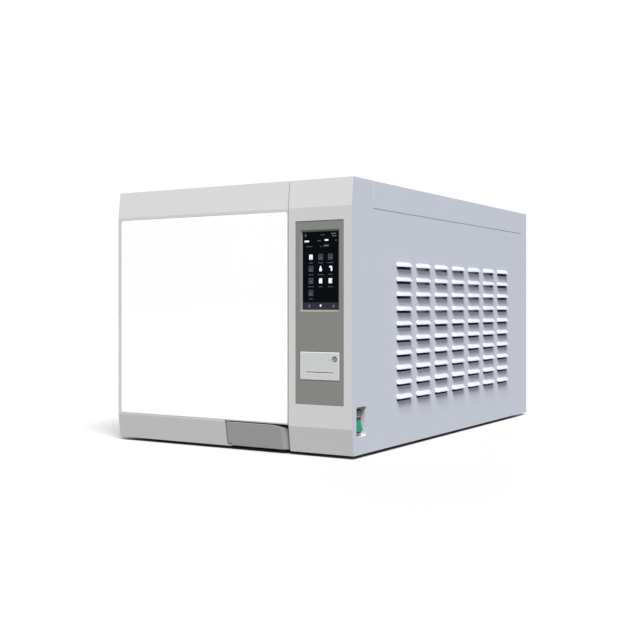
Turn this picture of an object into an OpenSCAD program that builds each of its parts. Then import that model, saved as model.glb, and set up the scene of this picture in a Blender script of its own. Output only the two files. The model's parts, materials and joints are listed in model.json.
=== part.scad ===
// Benchtop steam autoclave with a front door, a control column and a louvred
// sheet-metal case. The front faces -Y, +X is the operator's right, and Z = 0
// is the bench. The origin is the bottom centre of the whole machine.

/* [Cabinet] */
// Overall width
body_w = 440; // [430:1:600]
// Overall depth
body_d = 720; // [690:1:900]
// Height of the case above its feet
body_h = 400; // [385:1:500]
// Height of the rubber feet below the case
foot_gap = 5; // [3:0.5:15]
// Radius of a rubber foot
foot_r = 17; // [10:1:22]
// Distance from each case corner to the centre of its foot
foot_in = 34; // [24:1:60]
// Thickness of the sheet metal
sheet_t = 1.5; // [0.8:0.1:2]
// Gap between neighbouring sheet-metal covers
cover_gap = 0.6; // [0.3:0.1:1.5]
// Drop of the top cover down each side
cover_skirt = 41; // [20:1:80]
// Depth of the pocket that the rear fittings sit in
rear_recess = 25; // [24:1:40]

/* [Front mouldings] */
// Depth of the moulded front, from its face to the sheet-metal case
front_d = 65; // [60:1:90]
// Width of the control column
column_w = 108; // [106:1:130]
// Gap between the door and the control column
seam_gap = 1.4; // [1:0.1:3]
// Wall of the moulded parts
mould_t = 3; // [2:0.25:4]
// Height of the sloping band along the top of the front
upper_band = 41.3; // [20:0.1:60]
// Set-back of the top band at its upper edge
upper_set = 4.7; // [2:0.1:10]
// Height of the sloping band along the bottom of the front
lower_band = 38; // [36:0.1:50]
// Set-back of the bottom band at its lower edge
lower_set = 5.4; // [3:0.1:8]

/* [Door] */
// Depth of the door moulding
door_d = 42; // [40:0.5:48]
// Gap between the door and the frame behind it
door_gap = 2; // [1:0.1:4]
// Radius of the door's hinge edge about the hinge line
hinge_r = 12; // [11:0.5:14]
// Radius of the hinge pin
hinge_pin_r = 4; // [3:0.25:4.5]
// Height of one fixed hinge ear
hinge_ear_h = 14; // [8:1:24]
// Distance between the two fixed ears
hinge_span = 108; // [92:1:140]
// Width of the strip left of the white panel
panel_side = 6.1; // [4:0.1:12]
// Space right of the white panel, up to the door's edge
panel_right = 1.2; // [1:0.1:6]
// Space between the white panel and the top band
panel_top = 4.7; // [2:0.1:12]
// Space between the white panel and the bottom band
panel_bottom = 2.5; // [2:0.1:12]
// Thickness of the white panel
panel_t = 1.5; // [1:0.1:2]
// Corner radius of the white panel
panel_r = 4; // [1:0.5:12]
// Reach of the door lock's pin
lock_travel = 14; // [12:0.5:16]

/* [Pull handle] */
// Width of the pull handle
handle_w = 114.5; // [80:0.5:140]
// Thickness of the handle's front wall
handle_t = 8; // [6:0.5:9]
// Radius of the handle's rolled free end
handle_roll = 14; // [12:0.5:18]
// Radius of the handle's hinge pin
handle_pin_r = 1.5; // [1:0.1:1.8]

/* [Control column] */
// Width of the grey control panel
inset_w = 82; // [74:1:90]
// Height of the grey control panel
inset_h = 268; // [240:1:290]
// Height of the control panel's lower edge above the case bottom
inset_z = 71; // [50:1:90]
// Space between the column's right side and the control panel
inset_right = 13.5; // [8:0.5:16]
// Depth of the control panel below the column's face
inset_deep = 0.5; // [0.5:0.25:3]
// Width of the touch screen's glass
glass_w = 61; // [50:0.5:66]
// Height of the touch screen's glass
glass_h = 114; // [90:0.5:120]
// Gap between the glass and the control panel's right edge
glass_right = 10.1; // [6:0.1:14]
// Gap between the glass and the control panel's upper edge
glass_top = 15.9; // [8:0.1:24]
// Width of the printer's door
printer_w = 67; // [60:0.5:70]
// Height of the printer's door
printer_h = 41.5; // [38:0.5:50]
// Gap between the printer's door and the panel's right edge
printer_right = 7.6; // [5:0.1:12]
// Height of the printer above the control panel's lower edge
printer_z = 35.7; // [20:0.1:60]
// Width of the paper slot
slot_w = 46.6; // [40:0.1:50]
// Height of the paper slot above the printer door's lower edge
slot_z = 11.6; // [9:0.1:16]
// Outer radius of the paper roll
roll_r = 14; // [8:0.5:15]

/* [Power switch] */
// Width of the switch pocket, front to back
pocket_w = 28.5; // [24:0.5:32]
// Height of the switch pocket
pocket_h = 43; // [38:0.5:50]
// Distance of the switch pocket behind the front face
pocket_y = 13.2; // [10:0.1:20]
// Height of the switch pocket above the case bottom
pocket_z = 26; // [20:1:60]
// Depth of the switch pocket
pocket_d = 8; // [6:0.5:10]
// Width of the rocker, front to back
rocker_w = 17; // [14:0.5:19]
// Height of the rocker
rocker_h = 30; // [24:0.5:32]
// Tilt of the rocker to each side of level
rocker_tilt = 8; // [4:0.5:9]

/* [Louvres] */
// Columns of louvres on each side panel
louvre_cols = 7; // [1:1:8]
// Rows of louvres on each side panel
louvre_rows = 10; // [1:1:11]
// Length of one louvre
louvre_w = 50; // [30:1:55]
// Distance between neighbouring columns
louvre_step_y = 69.9; // [60:0.1:75]
// Distance between neighbouring rows
louvre_step_z = 22.65; // [20:0.05:26]
// Distance of the first louvre behind the front face
louvre_y = 140; // [100:1:150]
// Height of the top row's lip above the case bottom
louvre_z = 275.5; // [255:0.5:300]
// Height of one louvre's hood
louvre_h = 7; // [6:0.5:13]
// Reach of one louvre's hood out of the panel
louvre_out = 6; // [3:0.5:8]
// Open height below the lip
louvre_open = 4; // [1:0.5:6]

/* [Pressure vessel] */
// Inside diameter of the chamber
chamber_bore = 247; // [200:1:250]
// Depth of the chamber's straight part, from its sealing face
chamber_len = 450; // [380:1:480]
// Wall of the chamber
chamber_t = 3; // [2:0.25:4]
// Height of the chamber's centre line above the case bottom
chamber_z = 197; // [190:1:205]
// Bulge of the chamber's dished end
dish_h = 45; // [30:1:60]
// Width of the mouth flange beyond the bore
flange_w = 26; // [24:1:28]
// Thickness of the mouth flange
flange_t = 14; // [10:0.5:16]
// Thickness of the insulating jacket
jacket_t = 20; // [10:1:20]
// Space for the heater band below the jacket
heater_gap = 3.5; // [2:0.25:4]
// Thickness of the pressure door at its rim
lid_t = 8; // [6:0.5:9]
// Width of the door gasket
gasket_w = 8.5; // [6:0.5:10]
// Depth of the gasket's groove
gasket_t = 3; // [2:0.25:4]

/* [Trays] */
// Space beside a tray, from its side to the chamber's widest point
tray_side = 33.5; // [31.5:0.5:53.5]
// Length of a tray
tray_l = 390; // [300:1:400]
// Height of a tray's rim
tray_h = 12; // [8:1:16]
// Distance between the trays
tray_step = 46; // [36:1:48]
// Thickness of the tray sheet
tray_t = 1; // [0.6:0.1:1.5]

/* [Water tanks] */
// Length of each tank, front to back
tank_l = 160; // [120:1:165]
// Height of each tank
tank_h = 183; // [120:1:190]
// Wall of a tank
tank_t = 3; // [2:0.5:4]
// Radius of a tank's filler mouth
filler_r = 26; // [18:0.5:28]
// Length of the hatch over both fillers
hatch_l = 190; // [170:1:220]
// Width of the hatch over both fillers
hatch_w = 88; // [70:1:90]

/* [Rear fittings] */
// Radius of the cooling fan's blades
fan_r = 54; // [30:0.5:56]
// Blades on the cooling fan
fan_blades = 7; // [5:1:9]
// Distance between the two drain taps
tap_step = 40; // [34:1:50]
// Radius of a drain tap's hose spout
spout_r = 5; // [4:0.25:6]
// Length of a drain tap's hose spout
spout_l = 14; // [12:1:20]

/* [Hidden] */
$fn = 64;
clr = 0.3;
fit_clr = 0.05;
eps = 1;

y_front = -body_d / 2;
y_back = body_d / 2;
x_left = -body_w / 2;
x_right = body_w / 2;
z_bot = foot_gap;
z_top = foot_gap + body_h;
y_case = y_front + front_d;
x_seam = x_right - column_w;
door_r = x_seam - seam_gap / 2;
column_l = x_seam + seam_gap / 2;
door_back = y_front + door_d;
frame_y = door_back + door_gap;

// Hinge line of the door: the door's rear left edge is rounded about it.
hinge_x = x_left + hinge_r;
hinge_y = door_back - hinge_r;

// Pressure vessel: its centre line and the faces that stack along it.
vx = (x_left + x_seam) / 2;
vz = z_bot + chamber_z;
seal_y = frame_y + 12;
plate_t = 3;
bulkhead_y = seal_y + flange_t;
bore_r = chamber_bore / 2;
tube_r = bore_r + chamber_t;
tube_end = seal_y + chamber_len;
flange_r = bore_r + flange_w;
lid_r = flange_r - 8;
mouth_r = flange_r + 8;
dish_r = (tube_r * tube_r + dish_h * dish_h) / (2 * dish_h);
dish_y = tube_end + dish_h - dish_r;
jacket_in = tube_r + heater_gap;
jacket_r = jacket_in + jacket_t;
jacket_end = tube_end + dish_h + 6;
port_r = 5;
lid_y = seal_y - clr;

// Inside faces of the case.
x_in = x_right - sheet_t;
rear_y = y_back - rear_recess;
floor_z = z_bot + 2;

// Base tray and the feet under it.
base_x = x_in - 1;
base_y0 = bulkhead_y + plate_t;
base_y1 = rear_y - sheet_t;
foot_x = [-base_x + foot_in, base_x - foot_in];
foot_y = [base_y0 + foot_in, base_y1 - foot_in];

// Bay for the machinery, right of the vessel.
bay_l = column_l + 4;
bay_r = x_in - 5;

// Control panel and what it carries.
inset_x1 = x_right - inset_right;
inset_x0 = inset_x1 - inset_w;
inset_z0 = z_bot + inset_z;
inset_z1 = inset_z0 + inset_h;
inset_y = y_front + inset_deep;
inset_t = 3;
glass_x1 = inset_x1 - glass_right;
glass_x0 = glass_x1 - glass_w;
glass_z1 = inset_z1 - glass_top;
glass_z0 = glass_z1 - glass_h;
glass_y = inset_y + 2.5;
glass_t = 3;
pr_x1 = inset_x1 - printer_right;
pr_x0 = pr_x1 - printer_w;
pr_z0 = inset_z0 + printer_z;
pr_z1 = pr_z0 + printer_h;
pr_t = 3;
pr_axis_y = y_front + pr_t / 2;
pr_axis_z = pr_z0 + pr_t / 2;
bucket_y = y_front + pr_t + 0.5;
bucket_d = 40;
roll_x = (pr_x0 + pr_x1) / 2;
roll_y = bucket_y + 2 + roll_r + 3;
roll_z = (pr_z0 + pr_z1) / 2 + 1;
button_r = 2.4;
button_x = pr_x1 - 7.5;
button_z = pr_z1 - 10;

// Switch pocket in the right side of the column.
pk_y0 = y_front + pocket_y;
pk_y1 = pk_y0 + pocket_w;
pk_z0 = z_bot + pocket_z;
pk_z1 = pk_z0 + pocket_h;
pk_x = x_right - pocket_d;
sw_y = (pk_y0 + pk_y1) / 2;
sw_z = (pk_z0 + pk_z1) / 2;
bezel_t = 1.6;
bezel_m = 2.5;

// Pull handle: it follows the slope of the bottom band.
slope = atan(lower_set / lower_band);
slope_y = y_front + lower_set;
handle_x0 = door_r - handle_w;
hub_r = 3.6;
handle_ax = handle_x0 + hub_r;
handle_top = z_bot + lower_band - 0.6;
handle_low = z_bot + 1;
grip_d = 26;
grip_top = z_bot + lower_band + 1.4;
lug_t = 3;

// Door lock in the upper right corner of the frame.
lock_x = vx + 139;
lock_z = vz + 148;
lock_r = 5;
lock_rest = frame_y + 1.5;

// White panel on the door, and the yoke and boss inside it.
panel_x0 = x_left + panel_side;
panel_x1 = door_r - panel_right;
panel_z0 = z_bot + lower_band + panel_bottom;
panel_z1 = z_top - upper_band - panel_top;
boss_r = 36;
yoke_t = 8;
yoke_h = 80;

// Rack that holds the trays in the chamber.
tray_w = chamber_bore - 2 * tray_side;
rack_y0 = seal_y + 16;
rack_y1 = rack_y0 + tray_l + 12;
rack_x = tray_w / 2 + 1.5;
rack_t = 1.2;
rack_low = -sqrt(pow(bore_r - 0.5, 2) - pow(rack_x + rack_t, 2));
rack_top = tray_step + tray_h + 4;

// Tanks and their hatch.
tank_x0 = bay_l;
tank_x1 = bay_r;
tank_z1 = z_top - 17;
tank_z0 = tank_z1 - tank_h;
tank_gap = 6;
tank_mid = 23;
tank_y = [tank_mid - tank_gap / 2 - tank_l, tank_mid + tank_gap / 2];
filler_y = [tank_mid - 53, tank_mid + 53];
filler_x = (tank_x0 + tank_x1) / 2;
neck_h = 8;
hatch_x0 = filler_x - hatch_w / 2;
hatch_x1 = filler_x + hatch_w / 2;
hatch_y0 = tank_mid - hatch_l / 2;
hatch_y1 = tank_mid + hatch_l / 2;
hatch_pin_r = 1.5;
hatch_ax_z = z_top - sheet_t - hatch_pin_r - 0.6;
hatch_ax_y = hatch_y1 - 6;

// Fan, condenser and steam circuit behind the vessel.
fan_x = bay_l - 60;
fan_z = z_top - 115;
fan_box = 2 * fan_r + 12;
fan_depth = 25;
fan_y = rear_y - sheet_t - fan_depth;
cond_d = 40;
cond_y = fan_y - 4 - cond_d;
tee_y = rear_y - 51;
tee_s = 20;
pipe_r = 4;
gen_r = 40;
gen_x = x_left + 70;
gen_z0 = floor_z + 20;
gen_z1 = vz - 26;

// Rear connections.
tap_x = bay_r - 28;
tap_z = z_bot + 60;
tap_r = 9;
knob_t = 6;
tap_l = 17;
inlet_x = x_left + 190;
inlet_z = z_bot + 62;
inlet_w = 28;
inlet_h = 24;
filter_x = x_left + 75;
filter_z = z_top - 95;

// Box between two corners.
module slab(x0, x1, y0, y1, z0, z1) {
    translate([x0, y0, z0]) cube([x1 - x0, y1 - y0, z1 - z0]);
}

// Cylinder along Y from y0 to y1.
module rod_y(x, z, y0, y1, r) {
    translate([x, y0, z]) rotate([-90, 0, 0]) cylinder(h = y1 - y0, r = r);
}

// Cylinder along X from x0 to x1.
module rod_x(y, z, x0, x1, r) {
    translate([x0, y, z]) rotate([0, 90, 0]) cylinder(h = x1 - x0, r = r);
}

// Cylinder along Z from z0 to z1.
module rod_z(x, y, z0, z1, r) {
    translate([x, y, z0]) cylinder(h = z1 - z0, r = r);
}

// Solid with the outline of a YZ profile, from x0 to x1.
module along_x(x0, x1) {
    translate([x0, 0, 0]) rotate([90, 0, 90]) linear_extrude(height = x1 - x0)
        children();
}

// Solid with the outline of an XZ profile, from y0 to y1.
module along_y(y0, y1) {
    translate([0, y1, 0]) rotate([90, 0, 0]) linear_extrude(height = y1 - y0)
        children();
}

// Rectangle with rounded corners, between two corners.
module round_rect(x0, x1, z0, z1, r) {
    translate([x0 + r, z0]) square([x1 - x0 - 2 * r, z1 - z0]);
    translate([x0, z0 + r]) square([x1 - x0, z1 - z0 - 2 * r]);
    for (x = [x0 + r, x1 - r], z = [z0 + r, z1 - r])
        translate([x, z]) circle(r = r);
}

// The front's side view, with both sloping bands, reduced by a wall t.
module front_solid(x0, x1, y1, t) {
    along_x(x0, x1) polygon([
        [y_front + lower_set + t, z_bot + t],
        [y_front + t, z_bot + lower_band],
        [y_front + t, z_top - upper_band],
        [y_front + upper_set + t, z_top - t],
        [y1, z_top - t],
        [y1, z_bot + t]]);
}

// Plan outline of the door, rounded about the hinge line, reduced by t.
module door_plan(t, y1) {
    difference() {
        translate([x_left + t, y_front - eps])
            square([door_r - x_left - 2 * t, y1 - y_front + eps]);
        translate([x_left - eps, hinge_y])
            square([hinge_r + eps, y1 - hinge_y + eps]);
    }
    translate([hinge_x, hinge_y]) circle(r = hinge_r - t);
}

// Local frame of the handle: Z runs up the slope of the bottom band.
module on_slope(x) {
    translate([x, slope_y, z_bot]) rotate([slope, 0, 0]) children();
}

// ---- Base and case --------------------------------------------------------

module base_chassis() color("lightsteelblue") {
    wall = 2;
    lip = 20;
    vent_y = -27;
    vent_half = 70;
    difference() {
        slab(-base_x, base_x, base_y0, base_y1, z_bot, z_bot + lip);
        slab(-base_x + wall, base_x - wall, base_y0 + wall, base_y1 - wall,
            floor_z, z_bot + lip + eps);
        for (x = foot_x, y = foot_y)
            rod_z(x, y, z_bot - eps, floor_z + eps, 4);
        for (k = [0 : 8])
            slab(vx - vent_half, vx + vent_half, vent_y + 20 * k,
                vent_y + 20 * k + 8, z_bot - eps, floor_z + eps);
    }
}

module rubber_feet() color("dimgray") {
    for (x = foot_x, y = foot_y) {
        rod_z(x, y, 0, z_bot, foot_r);
        rod_z(x, y, z_bot, floor_z, 3.8);
    }
}

// Steel bulkhead that carries the vessel, with the door's hinge ears welded on.
module front_bulkhead() color("silver") {
    y1 = bulkhead_y + plate_t;
    difference() {
        slab(x_left + 4, x_right - 4, bulkhead_y, y1, z_bot + 1, z_top - 4);
        rod_y(vx, vz, bulkhead_y - eps, y1 + eps, tube_r + clr);
        slab(inset_x0, inset_x1, bulkhead_y - eps, y1 + eps, inset_z0,
            inset_z1);
        rod_y(lock_x, lock_z, bulkhead_y - eps, y1 + eps, lock_r + 3);
    }
    hinge_ears();
}

module hinge_ears() {
    ear_r = 6.5;
    for (z = [vz - hinge_span / 2, vz + hinge_span / 2])
        difference() {
            union() {
                slab(hinge_x - ear_r, hinge_x + ear_r, hinge_y, bulkhead_y,
                    z - hinge_ear_h / 2, z + hinge_ear_h / 2);
                rod_z(hinge_x, hinge_y, z - hinge_ear_h / 2,
                    z + hinge_ear_h / 2, ear_r);
            }
            rod_z(hinge_x, hinge_y, z - hinge_ear_h, z + hinge_ear_h,
                hinge_pin_r);
        }
}

// Frame moulding round the chamber mouth, behind the door.
module mouth_frame() color("whitesmoke") {
    tuck = sheet_t + 1;
    ear0 = vz - hinge_span / 2;
    difference() {
        union() {
            slab(x_left, column_l - seam_gap / 2, frame_y, y_case, z_bot,
                z_top);
            slab(x_left + tuck, column_l - seam_gap / 2, y_case,
                bulkhead_y, z_bot, z_top - tuck);
        }
        rod_y(vx, vz, frame_y - eps, bulkhead_y + eps, mouth_r);
        rod_y(lock_x, lock_z, frame_y - eps, bulkhead_y + eps,
            lock_r + 0.5);
        for (z = [ear0, vz + hinge_span / 2])
            slab(hinge_x - 8, hinge_x + 8, frame_y - eps, bulkhead_y + eps,
                z - hinge_ear_h / 2 - 1, z + hinge_ear_h / 2 + 1);
        hinge_relief();
    }
}

// Bevel that leaves room for the door's hinge edge as it swings.
module hinge_relief() {
    translate([0, 0, z_bot - eps]) linear_extrude(height = body_h + 2 * eps)
        polygon([
            [x_left - eps, frame_y - eps],
            [x_left + hinge_r + 6, frame_y - eps],
            [x_left + hinge_r + 6, frame_y],
            [x_left, frame_y + 5],
            [x_left - eps, frame_y + 5]]);
}

// Control column: the moulded right-hand part of the front.
module control_column() color("gainsboro") {
    wall_in = 4;
    difference() {
        union() {
            difference() {
                front_solid(column_l, x_right, y_case, 0);
                front_solid(column_l + mould_t, x_right - mould_t,
                    y_case + eps, mould_t);
            }
            // Solid surround of the switch pocket.
            slab(pk_x - wall_in, x_right - mould_t, pk_y0 - wall_in,
                pk_y1 + wall_in, pk_z0 - wall_in, pk_z1 + wall_in);
            // Seat behind the control panel.
            slab(inset_x0 - 4, inset_x1 + 4, y_front + mould_t,
                inset_y + inset_t + mould_t, inset_z0 - 4, inset_z1 + 4);
        }
        // Recess and window for the control panel.
        along_y(y_front - eps, inset_y + inset_t)
            round_rect(inset_x0, inset_x1, inset_z0, inset_z1, 1.5);
        slab(inset_x0 + 4, inset_x1 - 4, y_front, y_front + 20,
            inset_z0 + 4, inset_z1 - 4);
        // Switch pocket and the window in its floor.
        along_x(pk_x, x_right + eps)
            round_rect(pk_y0, pk_y1, pk_z0, pk_z1, 3);
        slab(pk_x - wall_in - eps, pk_x + eps, sw_y - rocker_w / 2 - 1.6,
            sw_y + rocker_w / 2 + 1.6, sw_z - rocker_h / 2 - 1.6,
            sw_z + rocker_h / 2 + 1.6);
    }
}

module control_panel() color("gray") {
    rim = clr;
    difference() {
        along_y(inset_y, inset_y + inset_t)
            round_rect(inset_x0 + rim, inset_x1 - rim, inset_z0 + rim,
                inset_z1 - rim, 1.5);
        slab(glass_x0, glass_x1, inset_y - eps, inset_y + inset_t + eps,
            glass_z0, glass_z1);
        slab(pr_x0 - 0.4, pr_x1 + 0.4, inset_y - eps,
            inset_y + inset_t + eps, pr_z0 - 0.4, pr_z1 + 0.4);
    }
}

module touch_display() color("black") {
    slab(glass_x0 + clr, glass_x1 - clr, glass_y, glass_y + glass_t,
        glass_z0 + clr, glass_z1 - clr);
    slab(glass_x0 + 2, glass_x1 - 2, glass_y + glass_t,
        glass_y + glass_t + 8, glass_z0 + 2, glass_z1 - 2);
}

// Printer mechanism: an open bucket with a thermal head over the slot.
module printer_frame() color("darkslategray") {
    x0 = pr_x0 + 2;
    x1 = pr_x1 - 2;
    z0 = pr_z0 + pr_t + 0.8;
    z1 = pr_z1 - 1;
    wall = 1.5;
    y0 = bucket_y;
    difference() {
        slab(x0, x1, y0, y0 + bucket_d, z0, z1);
        slab(x0 + wall, x1 - wall, y0 - eps, y0 + bucket_d - wall,
            z0 + wall, z1 - wall);
    }
    // Cheeks that carry the roll's spindle.
    for (x = [x0 + wall, x1 - wall - 4]) difference() {
        slab(x, x + 4, y0 + 4, y0 + bucket_d - wall, z0 + wall,
            roll_z + 4);
        rod_x(roll_y, roll_z, x - eps, x + 4 + eps, 3 + fit_clr);
    }
}

module switch_body() color("black") {
    w = rocker_w / 2;
    h = rocker_h / 2;
    difference() {
        union() {
            slab(pk_x, pk_x + bezel_t, sw_y - w - bezel_m, sw_y + w + bezel_m,
                sw_z - h - bezel_m, sw_z + h + bezel_m);
            slab(pk_x - 24, pk_x, sw_y - w - 1.3, sw_y + w + 1.3,
                sw_z - h - 1.3, sw_z + h + 1.3);
        }
        slab(pk_x - 14, pk_x + bezel_t + eps, sw_y - w - clr,
            sw_y + w + clr, sw_z - h - 0.6, sw_z + h + 0.6);
    }
    // Contact blades behind the body.
    for (y = [-5, 5], z = [-8, 0, 8])
        slab(pk_x - 33, pk_x - 24, sw_y + y - 0.4, sw_y + y + 0.4,
            sw_z + z - 2.4, sw_z + z + 2.4);
}

// One louvre's hood in section: out is the reach, up the height, t the inset.
module hood_section(out, up, t) {
    polygon([
        [-eps - t, t > 0 ? -eps : 0],
        [out - t, t > 0 ? -eps : 0],
        [out - t, up * 0.16 - t * 0.4],
        [out * 0.86 - t, up * 0.42 - t * 0.5],
        [out * 0.5 - t * 0.8, up * 0.74 - t * 0.8],
        [0 - t * 0.6, up - t],
        [-eps - t, up - t]]);
}

// Louvred side panel, built for the right side.
module louvred_panel() {
    y1 = y_back;
    z1 = z_top - cover_skirt - cover_gap;
    skin = 1;
    difference() {
        union() {
            slab(x_in, x_right, y_case + cover_gap, y1, z_bot, z1);
            louvre_field(louvre_out, louvre_h, 0, 0);
            // Folded rear edge.
            slab(x_in - 12, x_in + eps / 2, y1 - sheet_t, y1, z_bot, z1);
        }
        louvre_field(louvre_out, louvre_h, skin, skin);
        // Vent opening through the sheet below each hood.
        for (c = [0 : louvre_cols - 1], r = [0 : louvre_rows - 1])
            slab(x_in - eps, x_right + eps / 4,
                y_front + louvre_y + c * louvre_step_y + skin,
                y_front + louvre_y + c * louvre_step_y + louvre_w - skin,
                z_bot + louvre_z - r * louvre_step_z - louvre_open,
                z_bot + louvre_z - r * louvre_step_z + louvre_h * 0.5);
    }
}

module louvre_field(out, up, t, ends) {
    for (c = [0 : louvre_cols - 1], r = [0 : louvre_rows - 1])
        translate([x_right, y_front + louvre_y + c * louvre_step_y + ends,
            z_bot + louvre_z - r * louvre_step_z])
            translate([0, louvre_w - 2 * ends, 0]) rotate([90, 0, 0])
            linear_extrude(height = louvre_w - 2 * ends)
            hood_section(out, up, t);
}

module right_side_panel() color("lavender") louvred_panel();

module left_side_panel() color("lavender") mirror([1, 0, 0]) louvred_panel();

module top_cover() color("lavender") {
    y0 = y_case + cover_gap;
    difference() {
        union() {
            slab(x_left, x_right, y0, y_back, z_top - sheet_t, z_top);
            for (x = [x_left, x_in])
                slab(x, x + sheet_t, y0, y_back, z_top - cover_skirt, z_top);
        }
        slab(hatch_x0, hatch_x1, hatch_y0, hatch_y1, z_top - sheet_t - eps,
            z_top + eps);
    }
    // Hinge ears of the hatch.
    for (x = [hatch_x0 - 4, hatch_x1 + 1]) difference() {
        slab(x, x + 3, hatch_ax_y - 4, hatch_ax_y + 4, hatch_ax_z - 4,
            z_top - sheet_t);
        rod_x(hatch_ax_y, hatch_ax_z, x - eps, x + 3 + eps,
            hatch_pin_r + fit_clr);
    }
}

// Lift-up hatch over the two filler mouths.
module tank_hatch() color("lavender") {
    g = 1.2;
    plate = 3;
    slab(hatch_x0 + g, hatch_x1 - g, hatch_y0 + g, hatch_y1 - g,
        z_top - plate, z_top);
    for (s = [0, 1]) {
        x = s == 0 ? hatch_x0 + g : hatch_x1 - g - 4;
        p = s == 0 ? hatch_x0 - 3.5 : hatch_x1 - g;
        slab(x, x + 4, hatch_ax_y - 3.5, hatch_ax_y + 3.5,
            hatch_ax_z - 3, z_top - plate);
        rod_x(hatch_ax_y, hatch_ax_z, p, p + g + 3.5, hatch_pin_r);
    }
}

module rear_panel() color("lavender") {
    y0 = rear_y - sheet_t;
    x1 = x_in - cover_gap;
    difference() {
        slab(-x1, x1, y0, rear_y, z_bot, z_top - sheet_t - cover_gap);
        rod_y(fan_x, fan_z, y0 - eps, rear_y + eps, fan_r + 1);
        slab(inlet_x - inlet_w / 2, inlet_x + inlet_w / 2, y0 - eps,
            rear_y + eps, inlet_z - inlet_h / 2, inlet_z + inlet_h / 2);
        for (x = [tap_x - tap_step, tap_x])
            rod_y(x, tap_z, y0 - eps, rear_y + eps, tap_r);
        rod_y(filter_x, filter_z, y0 - eps, rear_y + eps, 6);
        // Vent slots.
        for (k = [0 : 7])
            slab(x_left + 50, x_left + 150, y0 - eps, rear_y + eps,
                z_bot + 130 + 10 * k, z_bot + 134 + 10 * k);
    }
}

// ---- Pressure vessel ------------------------------------------------------

module chamber_flange() color("silver") {
    difference() {
        rod_y(vx, vz, seal_y, bulkhead_y, flange_r);
        rod_y(vx, vz, seal_y - eps, bulkhead_y + eps, bore_r);
    }
}

module chamber_tube() color("silver") {
    difference() {
        rod_y(vx, vz, bulkhead_y, tube_end, tube_r);
        rod_y(vx, vz, bulkhead_y - eps, tube_end + eps, bore_r);
    }
}

// Dished end with its steam port.
module chamber_end() color("silver") {
    difference() {
        union() {
            intersection() {
                translate([vx, dish_y, vz]) sphere(r = dish_r);
                rod_y(vx, vz, tube_end, tube_end + dish_h + eps,
                    tube_r + 5);
            }
            rod_y(vx, vz, tube_end + dish_h - 2, jacket_end + jacket_t + 4,
                port_r + 3);
        }
        translate([vx, dish_y, vz]) sphere(r = dish_r - chamber_t);
        rod_y(vx, vz, tube_end, jacket_end + jacket_t + 5, port_r);
    }
}

module band_heater() color("tan") {
    y0 = bulkhead_y + 140;
    difference() {
        rod_y(vx, vz, y0, y0 + 240, tube_r + heater_gap - 0.6);
        rod_y(vx, vz, y0 - eps, y0 + 241, tube_r + 0.1);
    }
}

module insulation_jacket() color("khaki") {
    y0 = bulkhead_y + plate_t;
    difference() {
        rod_y(vx, vz, y0, jacket_end + jacket_t, jacket_r);
        rod_y(vx, vz, y0 - eps, jacket_end, jacket_in);
        rod_y(vx, vz, jacket_end - eps, jacket_end + jacket_t + eps,
            port_r + 3 + clr);
    }
}

module vessel_saddles() color("gray") {
    half = 110;
    for (y = [bulkhead_y + 130, tube_end - 70]) {
        difference() {
            slab(vx - half, vx + half, y, y + 3, floor_z, vz - 50);
            rod_y(vx, vz, y - eps, y + 3 + eps, jacket_r + clr);
        }
        slab(vx - half, vx + half, y + 3, y + 18, floor_z, floor_z + 2);
    }
}

// ---- Trays ----------------------------------------------------------------

module tray_rack() color("lightgray") {
    for (s = [-1, 1]) {
        x = s < 0 ? vx - rack_x - rack_t : vx + rack_x;
        difference() {
            slab(x, x + rack_t, rack_y0, rack_y1, vz + rack_low,
                vz + rack_top);
            for (k = [0 : 2], j = [-1, 0])
                slab(x - eps, x + rack_t + eps,
                    rack_y0 + 20 + k * (rack_y1 - rack_y0 - 20) / 3,
                    rack_y0 + (k + 1) * (rack_y1 - rack_y0 - 20) / 3,
                    vz + j * tray_step + tray_h + 4,
                    vz + (j + 1) * tray_step - 6);
        }
        rail = s < 0 ? vx - rack_x : vx + rack_x - 7;
        for (k = [-1 : 1])
            slab(rail, rail + 7, rack_y0, rack_y1,
                vz + k * tray_step - rack_t, vz + k * tray_step);
    }
    for (y = [rack_y0, rack_y1 - 14])
        slab(vx - rack_x, vx + rack_x, y, y + 14, vz + rack_low,
            vz + rack_low + rack_t);
    slab(vx - rack_x, vx + rack_x, rack_y1 - 14, rack_y1,
        vz + rack_top - rack_t, vz + rack_top);
}

// One perforated instrument tray at level k.
module tray(k) {
    y0 = rack_y0 + 4;
    w = tray_w / 2;
    z0 = vz + k * tray_step;
    nx = 5;
    ny = 11;
    difference() {
        slab(vx - w, vx + w, y0, y0 + tray_l, z0, z0 + tray_h);
        slab(vx - w + tray_t, vx + w - tray_t, y0 + tray_t,
            y0 + tray_l - tray_t, z0 + tray_t, z0 + tray_h + eps);
        for (i = [1 : nx], j = [1 : ny])
            rod_z(vx - w + i * tray_w / (nx + 1),
                y0 + j * tray_l / (ny + 1), z0 - eps, z0 + tray_t + eps, 5);
    }
}

module upper_tray() color("silver") tray(1);

module middle_tray() color("silver") tray(0);

module lower_tray() color("silver") tray(-1);

// ---- Door hinge and lock on the cabinet -----------------------------------

module hinge_pin() color("silver") {
    reach = (hinge_span + hinge_ear_h) / 2;
    rod_z(hinge_x, hinge_y, vz - reach - 1, vz + reach, hinge_pin_r);
    rod_z(hinge_x, hinge_y, vz + reach, vz + reach + 1.5, hinge_pin_r + 1.5);
}

module lock_solenoid() color("dimgray") {
    y0 = bulkhead_y + plate_t;
    s = 14;
    difference() {
        slab(lock_x - s, lock_x + s, y0, y0 + 48, lock_z - s, lock_z + s);
        rod_y(lock_x, lock_z, y0 - eps, y0 + 40, lock_r + fit_clr);
    }
}

module lock_pin() color("silver") {
    rod_y(lock_x, lock_z, lock_rest, bulkhead_y + plate_t + 36, lock_r);
}

// ---- Steam, water and power -----------------------------------------------

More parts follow.
